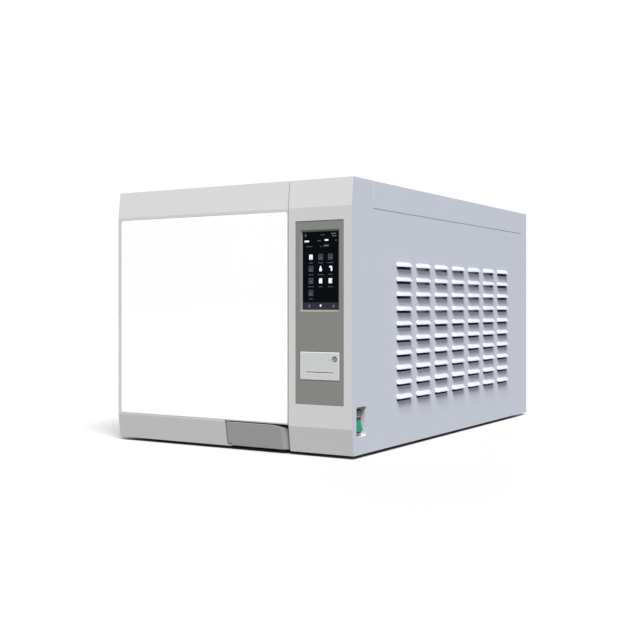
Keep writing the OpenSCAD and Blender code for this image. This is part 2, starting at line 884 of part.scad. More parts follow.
module steam_generator() color("silver") {
    rod_z(gen_x, tee_y, gen_z0, gen_z1, gen_r);
    rod_z(gen_x, tee_y, gen_z1, gen_z1 + 5, gen_r * 0.7);
    rod_z(gen_x, tee_y, gen_z1 + 5, gen_z1 + 12, 8);
    // Base flange and legs.
    rod_z(gen_x, tee_y, gen_z0 - 4, gen_z0, gen_r + 4);
    for (a = [45 : 90 : 315])
        rod_z(gen_x + (gen_r - 4) * cos(a), tee_y + (gen_r - 4) * sin(a),
            floor_z, gen_z0 - 4, 4);
}

// Diaphragm vacuum pump: motor, crank case and two heads.
module vacuum_pump() color("dimgray") {
    x = (bay_l + bay_r) / 2 + 2;
    z = floor_z + 52;
    y0 = tank_mid + 40;
    rod_y(x, z, y0, y0 + 84, 36);
    rod_y(x, z, y0 - 8, y0, 28);
    slab(x - 40, x + 40, y0 + 84, y0 + 126, z - 32, z + 44);
    for (s = [-1, 1])
        rod_z(x + 20 * s, y0 + 105, z + 44, z + 62, 18);
    slab(x - 36, x + 36, y0 + 6, y0 + 76, floor_z, floor_z + 20);
}

module water_pump() color("goldenrod") {
    x = vx - 20;
    y = tee_y - 22;
    slab(x - 20, x + 20, y - 20, y + 20, floor_z, floor_z + 4);
    rod_z(x, y, floor_z + 4, floor_z + 34, 17);
    rod_z(x, y, floor_z + 34, floor_z + 44, 6);
}

// Finned condenser in front of the fan.
module condenser() color("silver") {
    h = fan_box / 2;
    pitch = 6;
    for (x = [fan_x - h : pitch : fan_x + h - 1])
        slab(x, x + 1, cond_y, cond_y + cond_d, fan_z - h, fan_z + h);
    for (z = [-0.75, -0.25, 0.25, 0.75])
        rod_x(cond_y + cond_d / 2, fan_z + z * h, fan_x - h, fan_x + h - 1,
            4);
}

module fan_frame() color("black") {
    h = fan_box / 2;
    y1 = rear_y - sheet_t;
    difference() {
        slab(fan_x - h, fan_x + h, fan_y, y1, fan_z - h, fan_z + h);
        rod_y(fan_x, fan_z, fan_y - eps, y1 + eps, fan_r + 2);
        for (x = [-1, 1], z = [-1, 1])
            rod_y(fan_x + x * (h - 7), fan_z + z * (h - 7), fan_y - eps,
                y1 + eps, 2.2);
    }
    // Motor mount and its arms.
    rod_y(fan_x, fan_z, fan_y, fan_y + 3, 20);
    for (a = [0, 90])
        translate([fan_x, 0, fan_z]) rotate([0, a, 0])
            slab(-fan_r - 3, fan_r + 3, fan_y, fan_y + 3, -3, 3);
}

module fan_rotor() color("black") {
    hub = 18;
    y0 = fan_y + 3.6;
    y1 = rear_y - sheet_t - 2;
    rod_y(fan_x, fan_z, y0, y1, hub);
    chord = 24;
    for (k = [0 : fan_blades - 1])
        translate([fan_x, (y0 + y1) / 2, fan_z])
            rotate([0, k * 360 / fan_blades, 0]) rotate([0, 0, 35])
            translate([-chord / 2, -0.9, -fan_r])
            cube([chord, 1.8, fan_r - hub + 2]);
}

// Wire guard over the fan.
module fan_guard() color("silver") {
    wire = 1.2;
    y = rear_y + wire;
    for (r = [14 : 9 : fan_r])
        translate([fan_x, y, fan_z]) rotate([90, 0, 0]) rotate_extrude()
            translate([r, 0]) circle(r = wire);
    for (a = [0, 90]) translate([fan_x, y + wire * 0.7, fan_z]) rotate([0, a, 0])
        rod_x(0, 0, -fan_r - 5, fan_r + 5, wire);
}

// Row of solenoid valves on one brass block.
module valve_manifold() color("goldenrod") {
    x0 = bay_l + 12;
    y0 = tank_y[0] + 24;
    slab(x0, x0 + 70, y0, y0 + 110, floor_z, floor_z + 4);
    slab(x0 + 10, x0 + 60, y0 + 4, y0 + 106, floor_z + 4, floor_z + 34);
    for (k = [0 : 3]) {
        y = y0 + 17 + 25.5 * k;
        rod_z(x0 + 35, y, floor_z + 34, floor_z + 44, 7);
        slab(x0 + 20, x0 + 50, y - 11, y + 11, floor_z + 44, floor_z + 76);
    }
}

module tank_shelf() color("lightgray") {
    y0 = tank_y[0];
    y1 = tank_y[1] + tank_l;
    slab(bay_l, bay_r, y0, y1, tank_z0 - 2, tank_z0);
    difference() {
        slab(bay_l - 2, bay_l, y0, y1, floor_z, tank_z0);
        for (k = [0 : 2])
            slab(bay_l - 3, bay_l + eps, y0 + 20 + k * 100,
                y0 + 100 + k * 100, floor_z + 30, tank_z0 - 30);
    }
}

module tank(k) {
    y0 = tank_y[k];
    y1 = y0 + tank_l;
    difference() {
        union() {
            slab(tank_x0, tank_x1, y0, y1, tank_z0, tank_z1);
            rod_z(filler_x, filler_y[k], tank_z1, tank_z1 + neck_h,
                filler_r + tank_t);
        }
        slab(tank_x0 + tank_t, tank_x1 - tank_t, y0 + tank_t, y1 - tank_t,
            tank_z0 + tank_t, tank_z1 - tank_t);
        rod_z(filler_x, filler_y[k], tank_z1 - tank_t - eps,
            tank_z1 + neck_h + eps, filler_r);
    }
}

module clean_tank() color("white") tank(0);

module used_tank() color("gainsboro") tank(1);

module power_supply() color("silver") {
    y0 = bulkhead_y + plate_t + 8;
    y1 = tank_y[0] - 10;
    x0 = bay_l + 6;
    x1 = bay_r - 4;
    z1 = floor_z + 58;
    difference() {
        slab(x0, x1, y0, y1, floor_z, z1);
        slab(x0 + 1.5, x1 - 1.5, y0 + 1.5, y1 - 1.5, floor_z + 1.5,
            z1 - 1.5);
        for (k = [0 : 7])
            slab(x0 + 12, x1 - 12, y0 + 12 + 14 * k, y0 + 18 + 14 * k,
                z1 - 2, z1 + eps);
    }
}

// Upright control board with its larger components.
module control_board() color("seagreen") {
    x0 = bay_l + 6;
    y0 = bulkhead_y + plate_t + 12;
    y1 = tank_y[0] - 14;
    z0 = floor_z + 72;
    z1 = z0 + 230;
    slab(x0, x0 + 1.6, y0, y1, z0, z1);
    for (k = [0 : 4])
        slab(x0 + 1.6, x0 + 17, y0 + 10, y0 + 28, z0 + 12 + 24 * k,
            z0 + 30 + 24 * k);
    for (k = [0 : 3])
        rod_x(y0 + 50, z0 + 24 + 26 * k, x0 + 1.6, x0 + 24, 9);
    for (k = [0 : 5])
        slab(x0 + 1.6, x0 + 12, y1 - 14, y1 - 4, z0 + 12 + 30 * k,
            z0 + 34 + 30 * k);
    slab(x0 + 1.6, x0 + 5, y0 + 30, y0 + 66, z0 + 150, z0 + 186);
}

// Mains inlet with its fuse drawer.
module mains_inlet() color("black") {
    w = inlet_w / 2 - clr;
    h = inlet_h / 2 - clr;
    y0 = rear_y - 26;
    difference() {
        union() {
            slab(inlet_x - w - 9, inlet_x + w + 9, rear_y, rear_y + 3,
                inlet_z - h - 5, inlet_z + h + 5);
            slab(inlet_x - w, inlet_x + w, y0, rear_y, inlet_z - h,
                inlet_z + h);
        }
        slab(inlet_x - w + 2, inlet_x + w - 2, rear_y - 16, rear_y + 4,
            inlet_z - h + 2, inlet_z + h - 2);
    }
    for (p = [[0, 4], [-6.5, -3], [6.5, -3]])
        slab(inlet_x + p[0] - 1, inlet_x + p[0] + 1, rear_y - 16,
            rear_y - 1, inlet_z + p[1] - 3, inlet_z + p[1] + 3);
}

// Disc-shaped air filter on its port.
module bacteria_filter() color("white") {
    rod_y(filter_x, filter_z, rear_y - 10, rear_y + 4, 5.7);
    rod_y(filter_x, filter_z, rear_y + 4, rear_y + 7, 24);
    rod_y(filter_x, filter_z, rear_y + 7, rear_y + 15, 28);
    rod_y(filter_x, filter_z, rear_y + 15, rear_y + 18, 24);
    rod_y(filter_x, filter_z, rear_y + 18, rear_y + 23, 4);
}

// Two drain taps with downward hose spouts.
module drain_valves() color("goldenrod") {
    mid = rear_y + 10;
    shoulder = spout_r + 0.9;
    for (x = [tap_x - tap_step, tap_x]) {
        rod_y(x, tap_z, rear_y - 14, rear_y, tap_r - clr);
        rod_y(x, tap_z, rear_y, rear_y + 3, tap_r + 3);
        rod_y(x, tap_z, rear_y + 3, rear_y + tap_l, tap_r - 1);
        rod_z(x, mid, tap_z - tap_r, tap_z, shoulder);
        rod_z(x, mid, tap_z - tap_r - spout_l, tap_z, spout_r);
    }
}

// Quarter-turn knob of one drain tap.
module tap_knob(x) {
    y0 = rear_y + tap_l + clr;
    rod_y(x, tap_z, y0, y0 + knob_t, 8);
    slab(x - 2.5, x + 2.5, y0 + 1, y0 + knob_t, tap_z, tap_z + 20);
}

module clean_tap_knob() color("royalblue") tap_knob(tap_x);

module used_tap_knob() color("red") tap_knob(tap_x - tap_step);

// Rigid pipes from the vessel's port to the steam generator and condenser.
module steam_pipes() color("peru") {
    s = tee_s / 2;
    y_port = jacket_end + jacket_t + 4;
    cond_x = fan_x - fan_box / 2 + 20;
    bend = 10;
    rod_y(vx, vz, y_port, tee_y - s, port_r + 1);
    slab(vx - s, vx + s, tee_y - s, tee_y + s, vz - s, vz + s);
    rod_x(tee_y, vz, gen_x + bend, vx - s, pipe_r);
    translate([gen_x + bend, tee_y, vz - bend]) rotate([90, 0, 0])
        rotate([0, 0, 90]) rotate_extrude(angle = 90)
        translate([bend, 0]) circle(r = pipe_r);
    rod_z(gen_x, tee_y, gen_z1 + 12, vz - bend, pipe_r);
    rod_x(tee_y, vz, vx + s, cond_x - bend, pipe_r);
    translate([cond_x - bend, tee_y, vz + bend]) rotate([90, 0, 0])
        rotate([0, 0, 270]) rotate_extrude(angle = 90)
        translate([bend, 0]) circle(r = pipe_r);
    rod_z(cond_x, tee_y, vz + bend, fan_z - fan_box / 2, pipe_r);
}

module safety_valve() color("goldenrod") {
    z0 = vz + tee_s / 2;
    rod_z(vx, tee_y, z0, z0 + 8, 6);
    rod_z(vx, tee_y, z0 + 8, z0 + 18, 11);
    rod_z(vx, tee_y, z0 + 18, z0 + 44, 9);
    rod_z(vx, tee_y, z0 + 44, z0 + 50, 5);
}

// Pan-head screws round the rear panel.
module panel_screws() color("silver") {
    x1 = x_in - 12;
    for (x = [-x1, -x1 / 3, x1 / 3, x1], z = [z_bot + 12, z_top - 14])
        rod_y(x, z, rear_y, rear_y + 2, 3.5);
    for (x = [-x1, x1], z = [z_bot + body_h / 3, z_bot + 2 * body_h / 3])
        rod_y(x, z, rear_y, rear_y + 2, 3.5);
}

// ---- Door -----------------------------------------------------------------

module door_shell() color("whitesmoke") {
    gx0 = handle_x0 - 0.6;
    gz1 = grip_top;
    gy1 = y_front + grip_d;
    difference() {
        union() {
            difference() {
                intersection() {
                    front_solid(x_left, door_r, door_back, 0);
                    translate([0, 0, z_bot]) linear_extrude(height = body_h)
                        door_plan(0, door_back);
                }
                intersection() {
                    front_solid(x_left, door_r, door_back + eps, mould_t);
                    translate([0, 0, z_bot]) linear_extrude(height = body_h)
                        door_plan(mould_t, door_back + eps);
                }
            }
            // Walls of the grip pocket behind the handle.
            intersection() {
                slab(gx0 - mould_t, door_r, y_front, gy1 + mould_t, z_bot,
                    gz1 + mould_t);
                front_solid(x_left, door_r, door_back, 0);
            }
        }
        // Grip pocket, open below and at the seam, with a lug for the pin.
        difference() {
            slab(gx0, door_r + eps, y_front - eps, gy1, z_bot - eps, gz1);
            slab(gx0 - eps, handle_ax + 5, slope_y + 1, gy1 + eps,
                z_bot - 2 * eps, z_bot + lug_t);
        }
        on_slope(handle_ax) translate([0, hub_r, 0.6])
            cylinder(h = lower_band + 4, r = handle_pin_r);
        // Seat of the white panel.
        along_y(y_front - eps, y_front + panel_t)
            round_rect(panel_x0 - clr, panel_x1 + clr, panel_z0 - clr,
                panel_z1 + clr, panel_r);
        // Notches round the fixed hinge ears.
        for (z = [vz - hinge_span / 2, vz + hinge_span / 2])
            slab(x_left - eps, hinge_x + 9, hinge_y - hinge_r - 1,
                door_back + eps, z - hinge_ear_h / 2 - 1,
                z + hinge_ear_h / 2 + 1);
    }
}

module door_panel() color("white") {
    along_y(y_front, y_front + panel_t)
        round_rect(panel_x0, panel_x1, panel_z0, panel_z1, panel_r);
}

// Plastic sheet that closes the back of the door.
module door_liner() color("lightgray") {
    t = 2.5;
    difference() {
        slab(hinge_x + clr, door_r - mould_t - clr, door_back - t,
            door_back, z_bot + mould_t + clr, z_top - mould_t - clr);
        rod_y(vx, vz, door_back - t - eps, door_back + eps, boss_r + 2);
        rod_y(lock_x, lock_z, door_back - t - eps, door_back + eps,
            lock_r + 1);
        for (z = [vz - hinge_span / 2, vz + hinge_span / 2])
            slab(hinge_x, hinge_x + 9, door_back - t - eps,
                door_back + eps, z - hinge_ear_h / 2 - 1,
                z + hinge_ear_h / 2 + 1);
    }
}

module pressure_door() color("silver") {
    difference() {
        union() {
            rod_y(vx, vz, lid_y - lid_t, lid_y, lid_r);
            rod_y(vx, vz, hinge_y + yoke_t / 2, lid_y - lid_t, boss_r);
        }
        difference() {
            rod_y(vx, vz, lid_y - gasket_t, lid_y + eps,
                bore_r + 4 + gasket_w);
            rod_y(vx, vz, lid_y - gasket_t - eps, lid_y + 2 * eps,
                bore_r + 4);
        }
    }
}

module door_gasket() color("white") {
    difference() {
        rod_y(vx, vz, lid_y - gasket_t, lid_y, bore_r + 4 + gasket_w);
        rod_y(vx, vz, lid_y - gasket_t - eps, lid_y + eps, bore_r + 4);
    }
}

// Steel yoke: hinge knuckle, beam to the pressure door and lock plate.
module door_yoke() color("gray") {
    knuckle_r = 8;
    reach = (hinge_span - hinge_ear_h) / 2 - 1;
    y0 = hinge_y - yoke_t / 2;
    y1 = hinge_y + yoke_t / 2;
    difference() {
        union() {
            slab(hinge_x, lock_x + 12, y0, y1, vz - yoke_h / 2,
                vz + yoke_h / 2);
            slab(lock_x - 12, lock_x + 12, y0, y1, vz, lock_z + 14);
            rod_z(hinge_x, hinge_y, vz - reach, vz + reach, knuckle_r);
        }
        rod_z(hinge_x, hinge_y, vz - reach - eps, vz + reach + eps,
            hinge_pin_r + fit_clr);
        rod_y(lock_x, lock_z, y0 - eps, y1 + eps, lock_r + 0.5);
    }
}

// Plan outline of the pull handle: hub, wall and rolled free end.
module handle_plan() {
    x1 = door_r - 0.6;
    cx = x1 - handle_roll;
    lip = 6;
    translate([handle_ax, 0]) square([cx - handle_ax, handle_t]);
    translate([handle_ax, hub_r]) circle(r = hub_r);
    translate([handle_ax - 1.5, hub_r]) square([2, handle_t - hub_r]);
    intersection() {
        difference() {
            translate([cx, handle_roll]) circle(r = handle_roll);
            translate([cx, handle_roll]) circle(r = handle_roll - handle_t);
        }
        translate([cx, 0]) square([handle_roll, handle_roll]);
    }
    translate([x1 - handle_t, handle_roll]) square([handle_t, lip]);
}

module door_handle() color("darkgray") {
    x1 = door_r - 0.6;
    dip = 11;
    difference() {
        intersection() {
            on_slope(0) translate([0, 0, -10])
                linear_extrude(height = lower_band + 30) handle_plan();
            slab(x_left, x_right, y_front - 5, y_front + 40, handle_low,
                handle_top);
        }
        // Room for the lower lug.
        slab(handle_x0 - 5, handle_ax + 5.6, y_front - 5, y_front + 40,
            handle_low - eps, z_bot + lug_t + 1);
        // The free end's top edge dips so fingers can reach in.
        translate([x1 - handle_roll * 1.8, y_front - 5, handle_top])
            rotate([0, dip, 0]) cube([60, 60, 20]);
        on_slope(handle_ax) translate([0, hub_r, -eps])
            cylinder(h = lower_band + 20, r = handle_pin_r + fit_clr);
    }
}

module handle_pin() color("silver") {
    on_slope(handle_ax) translate([0, hub_r, 0.6])
        cylinder(h = lower_band + 4, r = handle_pin_r);
}

// ---- Small moving pieces of the column ------------------------------------

// Printer door: rounded along its lower edge about its own hinge line.
module printer_door() color("gainsboro") {
    difference() {
        union() {
            slab(pr_x0, pr_x1, y_front, y_front + pr_t, pr_axis_z, pr_z1);
            rod_x(pr_axis_y, pr_axis_z, pr_x0, pr_x1, pr_t / 2);
        }
        slab(pr_x0 + 10.4, pr_x0 + 10.4 + slot_w, y_front - eps,
            y_front + pr_t + eps, pr_z0 + slot_z - 0.8,
            pr_z0 + slot_z + 0.8);
        rod_y(button_x, button_z, y_front - eps, y_front + pr_t + eps,
            button_r + 0.2);
    }
}

module feed_button() color("dimgray") {
    rod_y(button_x, button_z, y_front + 0.2, y_front + pr_t + 0.4,
        button_r);
    rod_y(button_x, button_z, y_front + pr_t + 0.2, y_front + pr_t + 1.2,
        button_r + 0.8);
}

module paper_roll() color("white") {
    spindle = 3;
    x0 = pr_x0 + 2 + 1.5 + 4 + 2;
    x1 = pr_x1 - 2 - 1.5 - 4 - 2;
    difference() {
        rod_x(roll_y, roll_z, x0, x1, roll_r);
        rod_x(roll_y, roll_z, x0 - eps, x1 + eps, spindle + 2);
    }
    rod_x(roll_y, roll_z, x0, x1, spindle + 2);
    rod_x(roll_y, roll_z, x0 - 5.4, x1 + 5.4, spindle);
}

module power_rocker() color("seagreen") {
    h = rocker_h / 2;
    translate([pk_x, sw_y - rocker_w / 2, sw_z])
        rotate([0, -rocker_tilt, 0])
        translate([0, rocker_w, 0]) rotate([90, 0, 0])
        linear_extrude(height = rocker_w)
        polygon([[-5, -6], [0, -h], [4.6, -h], [2.6, 0], [4.6, h], [0, h],
            [-5, 6]]);
}

base_chassis();
rubber_feet();
front_bulkhead();
mouth_frame();
control_column();
control_panel();
touch_display();
printer_frame();
switch_body();
right_side_panel();
left_side_panel();
top_cover();
rear_panel();
chamber_flange();
chamber_tube();
chamber_end();
band_heater();
insulation_jacket();
vessel_saddles();
tray_rack();
upper_tray();
middle_tray();
lower_tray();
hinge_pin();
lock_solenoid();
steam_generator();
vacuum_pump();
water_pump();
condenser();
fan_frame();
fan_guard();
valve_manifold();
tank_shelf();
clean_tank();
used_tank();
power_supply();
control_board();
mains_inlet();
bacteria_filter();
drain_valves();
steam_pipes();
safety_valve();
panel_screws();
door_shell();
door_panel();
door_liner();
pressure_door();
door_gasket();
door_yoke();
door_handle();
handle_pin();
printer_door();
feed_button();
paper_roll();
power_rocker();
lock_pin();
fan_rotor();
tank_hatch();
clean_tap_knob();
used_tap_knob();
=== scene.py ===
import json
import math

import bmesh
import bpy
from mathutils import Matrix, Vector


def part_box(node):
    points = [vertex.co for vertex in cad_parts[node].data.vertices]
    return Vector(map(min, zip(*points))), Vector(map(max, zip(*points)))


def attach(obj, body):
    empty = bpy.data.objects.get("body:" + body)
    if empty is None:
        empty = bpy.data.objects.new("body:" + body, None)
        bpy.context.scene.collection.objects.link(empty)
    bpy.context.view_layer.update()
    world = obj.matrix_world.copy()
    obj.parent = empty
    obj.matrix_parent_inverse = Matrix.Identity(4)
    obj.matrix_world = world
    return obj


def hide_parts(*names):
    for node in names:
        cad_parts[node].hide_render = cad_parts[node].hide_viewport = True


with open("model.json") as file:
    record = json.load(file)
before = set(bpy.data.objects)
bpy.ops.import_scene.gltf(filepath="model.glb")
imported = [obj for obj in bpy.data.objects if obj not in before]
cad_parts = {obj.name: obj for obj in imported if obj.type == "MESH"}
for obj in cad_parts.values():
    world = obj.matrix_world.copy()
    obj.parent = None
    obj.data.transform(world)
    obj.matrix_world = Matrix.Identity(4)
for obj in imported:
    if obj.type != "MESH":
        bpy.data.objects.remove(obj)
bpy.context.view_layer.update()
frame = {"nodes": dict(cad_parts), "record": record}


# ---- Studio ----------------------------------------------------------------
# The machine stands on a pale floor in an even white room. One broad lamp is
# overhead in front on the right, and a weaker one shines from behind on the
# left, so the top bands are lit and the undersides fall away.
camera = bpy.data.objects.new("camera", bpy.data.cameras.new("camera"))
bpy.context.scene.collection.objects.link(camera)
camera.location = (0.9358, -1.6345, 0.2207)
camera.rotation_euler = (math.radians(90), 0, math.radians(31.1))
camera.data.lens = 57.77
camera.data.sensor_width = 36
camera.data.shift_y = -0.0229
camera.data.clip_end = 100
bpy.context.scene.camera = camera
bpy.context.scene.view_settings.view_transform = "Standard"


class Level:
    """A number or a colour that changes over a surface; sums on it add Math nodes."""

    def __init__(self, finish, socket):
        self.finish, self.socket = finish, socket

    def sum(self, operation, first, second):
        return self.finish.node("ShaderNodeMath", {"operation": operation},
                                {0: first, 1: second})

    def __add__(self, other):
        return self.sum("ADD", self, other)

    def __sub__(self, other):
        return self.sum("SUBTRACT", self, other)

    def __rsub__(self, other):
        return self.sum("SUBTRACT", other, self)

    def __mul__(self, other):
        return self.sum("MULTIPLY", self, other)

    def __lt__(self, other):
        return self.sum("LESS_THAN", self, other)

    def __gt__(self, other):
        return self.sum("GREATER_THAN", self, other)

    __radd__ = __add__
    __rmul__ = __mul__


def paint(red, green, blue):
    """A paint-card colour, 0 to 255, as the linear colour that a shader takes."""
    parts = [c / 255 for c in (red, green, blue)]
    return tuple(c / 12.92 if c < 0.04045 else ((c + 0.055) / 1.055) ** 2.4
                 for c in parts) + (1,)


class Finish:
    """A material: constants go on the shader, and node() adds what varies."""

    def __init__(self, name, colour, roughness=0.5, metallic=0.0, **fixed):
        self.material = bpy.data.materials.new(name)
        self.material.use_nodes = True
        self.tree = self.material.node_tree
        self.shader = self.tree.nodes["Principled BSDF"]
        self.colour, self.roughness = colour, roughness
        fixed = {key.replace("_", " "): value for key, value in fixed.items()}
        for key, value in {"Base Color": colour, "Roughness": roughness,
                           "Metallic": metallic, **fixed}.items():
            self.shader.inputs[key].default_value = value
        self.place = self.node("ShaderNodeTexCoord", output="Object")

    def node(self, kind, settings=None, inputs=None, output=0):
        node = self.tree.nodes.new(kind)
        for key, value in (settings or {}).items():
            setattr(node, key, value)
        for key, value in (inputs or {}).items():
            self.plug(node.inputs[key], value)
        return Level(self, node.outputs[output])

    def plug(self, socket, value):
        if isinstance(value, Level):
            self.tree.links.new(value.socket, socket)
        else:
            socket.default_value = value

    def feed(self, name, value):
        self.plug(self.shader.inputs[name], value)

    def noise(self, scale, detail=2.0, stretch=(1, 1, 1)):
        spot = self.node("ShaderNodeMapping", {}, {"Vector": self.place, "Scale": stretch})
        return self.node("ShaderNodeTexNoise", {},
                         {"Vector": spot, "Scale": scale, "Detail": detail}, "Fac")

    def mix(self, share, first, second):
        return self.node("ShaderNodeMix", {"data_type": "RGBA"},
                         {0: share, 6: first, 7: second}, 2)

    def tint(self, share, first, second):
        """Feeds the colour with a mix of two colours."""
        self.feed("Base Color", self.mix(share, first, second))

    def axis(self, name):
        return self.node("ShaderNodeSeparateXYZ", {}, {"Vector": self.place}, name)

    def relief(self, height, depth, strength=1.0):
        self.feed("Normal", self.node(
            "ShaderNodeBump", {}, {"Height": height, "Distance": depth,
                                   "Strength": strength}, "Normal"))

    def shade(self, spread, scale, swing=0.0, detail=3.0, stretch=(1, 1, 1)):
        """Clouds of slightly lighter and darker colour, and of roughness."""
        cloud = self.noise(scale, detail, stretch)
        dark, light = (tuple(min(1, c * (1 + side * spread)) for c in self.colour[:3]) + (1,)
                       for side in (-1, 1))
        self.tint(cloud, dark, light)
        if swing:
            self.feed("Roughness", self.roughness + (cloud - 0.5) * swing)


def grey(level):
    """A grey of a linear level, as a shader takes it."""
    return (level, level, level, 1)


floor_shape = bmesh.new()
bmesh.ops.create_grid(floor_shape, x_segments=8, y_segments=8, size=40)
floor_mesh = bpy.data.meshes.new("floor")
floor_shape.to_mesh(floor_mesh)
floor_shape.free()
floor = bpy.data.objects.new("floor", floor_mesh)
bpy.context.scene.collection.objects.link(floor)
# The floor throws less light back at the machine than its own pale tone would.
floor_bounce, floor_dark, floor_light = grey(0.18), grey(0.5), grey(0.506)
floor_paper = Finish("floor_paper", floor_light, 0.8)
fibres = floor_paper.noise(2.0, 3)
direct = floor_paper.node("ShaderNodeLightPath", {}, {}, "Is Camera Ray")
floor_paper.tint(direct, floor_bounce, floor_paper.mix(fibres, floor_dark, floor_light))
floor_mesh.materials.append(floor_paper.material)

room = bpy.data.worlds.new("room")
bpy.context.scene.world = room
room.use_nodes = True
room_light = room.node_tree.nodes["Background"]
seen = room.node_tree.nodes.new("ShaderNodeBackground")
for glow, strength in ((room_light, 0.31), (seen, 1.05)):
    glow.inputs["Color"].default_value = grey(1)
    glow.inputs["Strength"].default_value = strength
choose = room.node_tree.nodes.new("ShaderNodeMixShader")
path = room.node_tree.nodes.new("ShaderNodeLightPath")
for start, end in ((path.outputs["Is Camera Ray"], choose.inputs[0]),
                   (room_light.outputs[0], choose.inputs[1]),
                   (seen.outputs[0], choose.inputs[2]),
                   (choose.outputs[0], room.node_tree.nodes["World Output"].inputs[0])):
    room.node_tree.links.new(start, end)


def lamp(name, towards, power, spread):
    """A broad distant lamp; towards is the direction that it stands in."""
    light = bpy.data.lights.new(name, "SUN")
    light.energy, light.angle = power, math.radians(spread)
    stand = bpy.data.objects.new(name, light)
    stand.rotation_euler = Vector(towards).to_track_quat("Z", "Y").to_euler()
    bpy.context.scene.collection.objects.link(stand)


lamp("overhead_lamp", (0.94, -1, 2.4), 6.0, 30)
lamp("far_wall_lamp", (-1, 1, 0.4), 1.3, 60)


# ---- Base tray and feet ----------------------------------------------------
# A folded, zinc-plated steel tray carries everything. Four moulded rubber
# feet are pressed into holes near its corners.
nodes = frame["nodes"]
body_of_node = {node: body
                for body, members in frame["record"]["behaviour"]["bodies"].items()
                for node in members}


def made(shape, name, body, finish, stands_for=(), sharp=35):
    """Turns a finished bmesh into a named piece that rides on a body."""
    mesh = bpy.data.meshes.new(name)
    shape.to_mesh(mesh)
    shape.free()
    mesh.materials.append(finish.material)
    mesh.shade_smooth()
    mesh.set_sharp_from_angle(angle=math.radians(sharp))
    piece = bpy.data.objects.new(name, mesh)
    bpy.context.scene.collection.objects.link(piece)
    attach(piece, body)
    if stands_for:
        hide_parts(*stands_for)
    return piece


# Pieces with holes through their flats keep the lines across those flats.
holed = {"rear_panel", "top_cover", "tank_hatch", "control_column", "tray_rack",
         "upper_tray", "middle_tray", "lower_tray", "used_tank", "clean_tank",
         "valve_manifold", "mains_inlet", "power_supply", "control_board",
         "vacuum_pump", "switch_body"}


def merged(node):
    """The CAD node's faces, joined up and freed of the lines across whole flats."""
    shape = bmesh.new()
    shape.from_mesh(nodes[node].data)
    bmesh.ops.remove_doubles(shape, verts=shape.verts, dist=2e-6)
    if node not in holed:
        bmesh.ops.dissolve_limit(shape, angle_limit=math.radians(0.6),
                                 verts=shape.verts, edges=shape.edges)
    return shape


def softened(node, name, finish, width, steps=2, sharp=32):
    """Stands in for a CAD node, with its corners broken by a small radius."""
    piece = made(merged(node), name, body_of_node[node], finish,
                 (node,), sharp)
    if width:
        rounding = piece.modifiers.new("rounding", "BEVEL")
        rounding.width, rounding.segments = width, steps
        rounding.limit_method, rounding.angle_limit = "ANGLE", math.radians(sharp)
        rounding.miter_outer = "MITER_ARC"
        evening = piece.modifiers.new("flats_kept_flat", "WEIGHTED_NORMAL")
        evening.mode, evening.weight, evening.keep_sharp = "FACE_AREA", 50, True
    return piece


def coated(finish, *names):
    """Gives CAD nodes that stay as they are a finish."""
    for name in names:
        nodes[name].data.materials.clear()
        nodes[name].data.materials.append(finish.material)


zinc = Finish("zinc_plate", paint(168, 172, 176), 0.38, 0.9)
zinc.shade(0.12, 60, 0.25, 4)
zinc.relief(zinc.noise(240, 3), 0.00008, 0.4)
coated(zinc, "base_chassis", "vessel_saddles", "tank_shelf", "front_bulkhead")

rubber = Finish("black_rubber", paint(34, 34, 36), 0.75)
rubber.shade(0.2, 90, 0.15)
rubber.relief(rubber.noise(1400, 2), 0.00004, 0.6)
softened("rubber_feet", "rubber_feet_moulded", rubber, 0.0012, 3)


# ---- Pressure vessel -------------------------------------------------------
# The chamber is rolled, welded and brushed stainless steel with a turned
# mouth flange. A mica heater band and a foil-faced glass wool jacket lie
# round it.
vessel_x, vessel_z = -0.054, 0.202
seal_y, tube_end = -0.304, 0.146
bore_r, flange_r = 0.1235, 0.1495


def spun(profile, middle, upright=False, steps=96):
    """Spins an outline of (radius, reach) pairs; reach runs to the rear, or upwards."""
    shape = bmesh.new()
    points = [shape.verts.new((radius, 0, reach)) for radius, reach in profile]
    lines = [shape.edges.new(pair) for pair in zip(points, points[1:])]
    bmesh.ops.spin(shape, geom=points + lines, cent=(0, 0, 0), axis=(0, 0, 1),
                   angle=math.tau, steps=steps, use_merge=True)
    bmesh.ops.remove_doubles(shape, verts=shape.verts, dist=1e-6)
    bmesh.ops.recalc_face_normals(shape, faces=shape.faces)
    turn = Matrix() if upright else Matrix.Rotation(math.radians(-90), 4, "X")
    bmesh.ops.transform(shape, matrix=Matrix.Translation(middle) @ turn,
                        verts=shape.verts)
    return shape


def ring(inner, outer, start, end, edge):
    """The closed outline of a ring with its corners cut by edge."""
    return [(inner + edge, start), (outer - edge, start), (outer, start + edge),
            (outer, end - edge), (outer - edge, end), (inner + edge, end),
            (inner, end - edge), (inner, start + edge), (inner + edge, start)]


def worked(finish, lines, dark, light, smooth, swing, depth, strength):
    """Fine tool lines in a metal: they vary its colour, its gloss and its height."""
    finish.tint(lines, dark, light)
    finish.feed("Roughness", smooth + lines * swing)
    finish.relief(lines, depth, strength)


brushed = Finish("brushed_stainless", paint(196, 197, 196), 0.3, 1.0)
worked(brushed, brushed.noise(900, 3, (1, 0.02, 1)), paint(178, 179, 179),
       paint(205, 206, 205), 0.24, 0.16, 0.00004, 0.35)

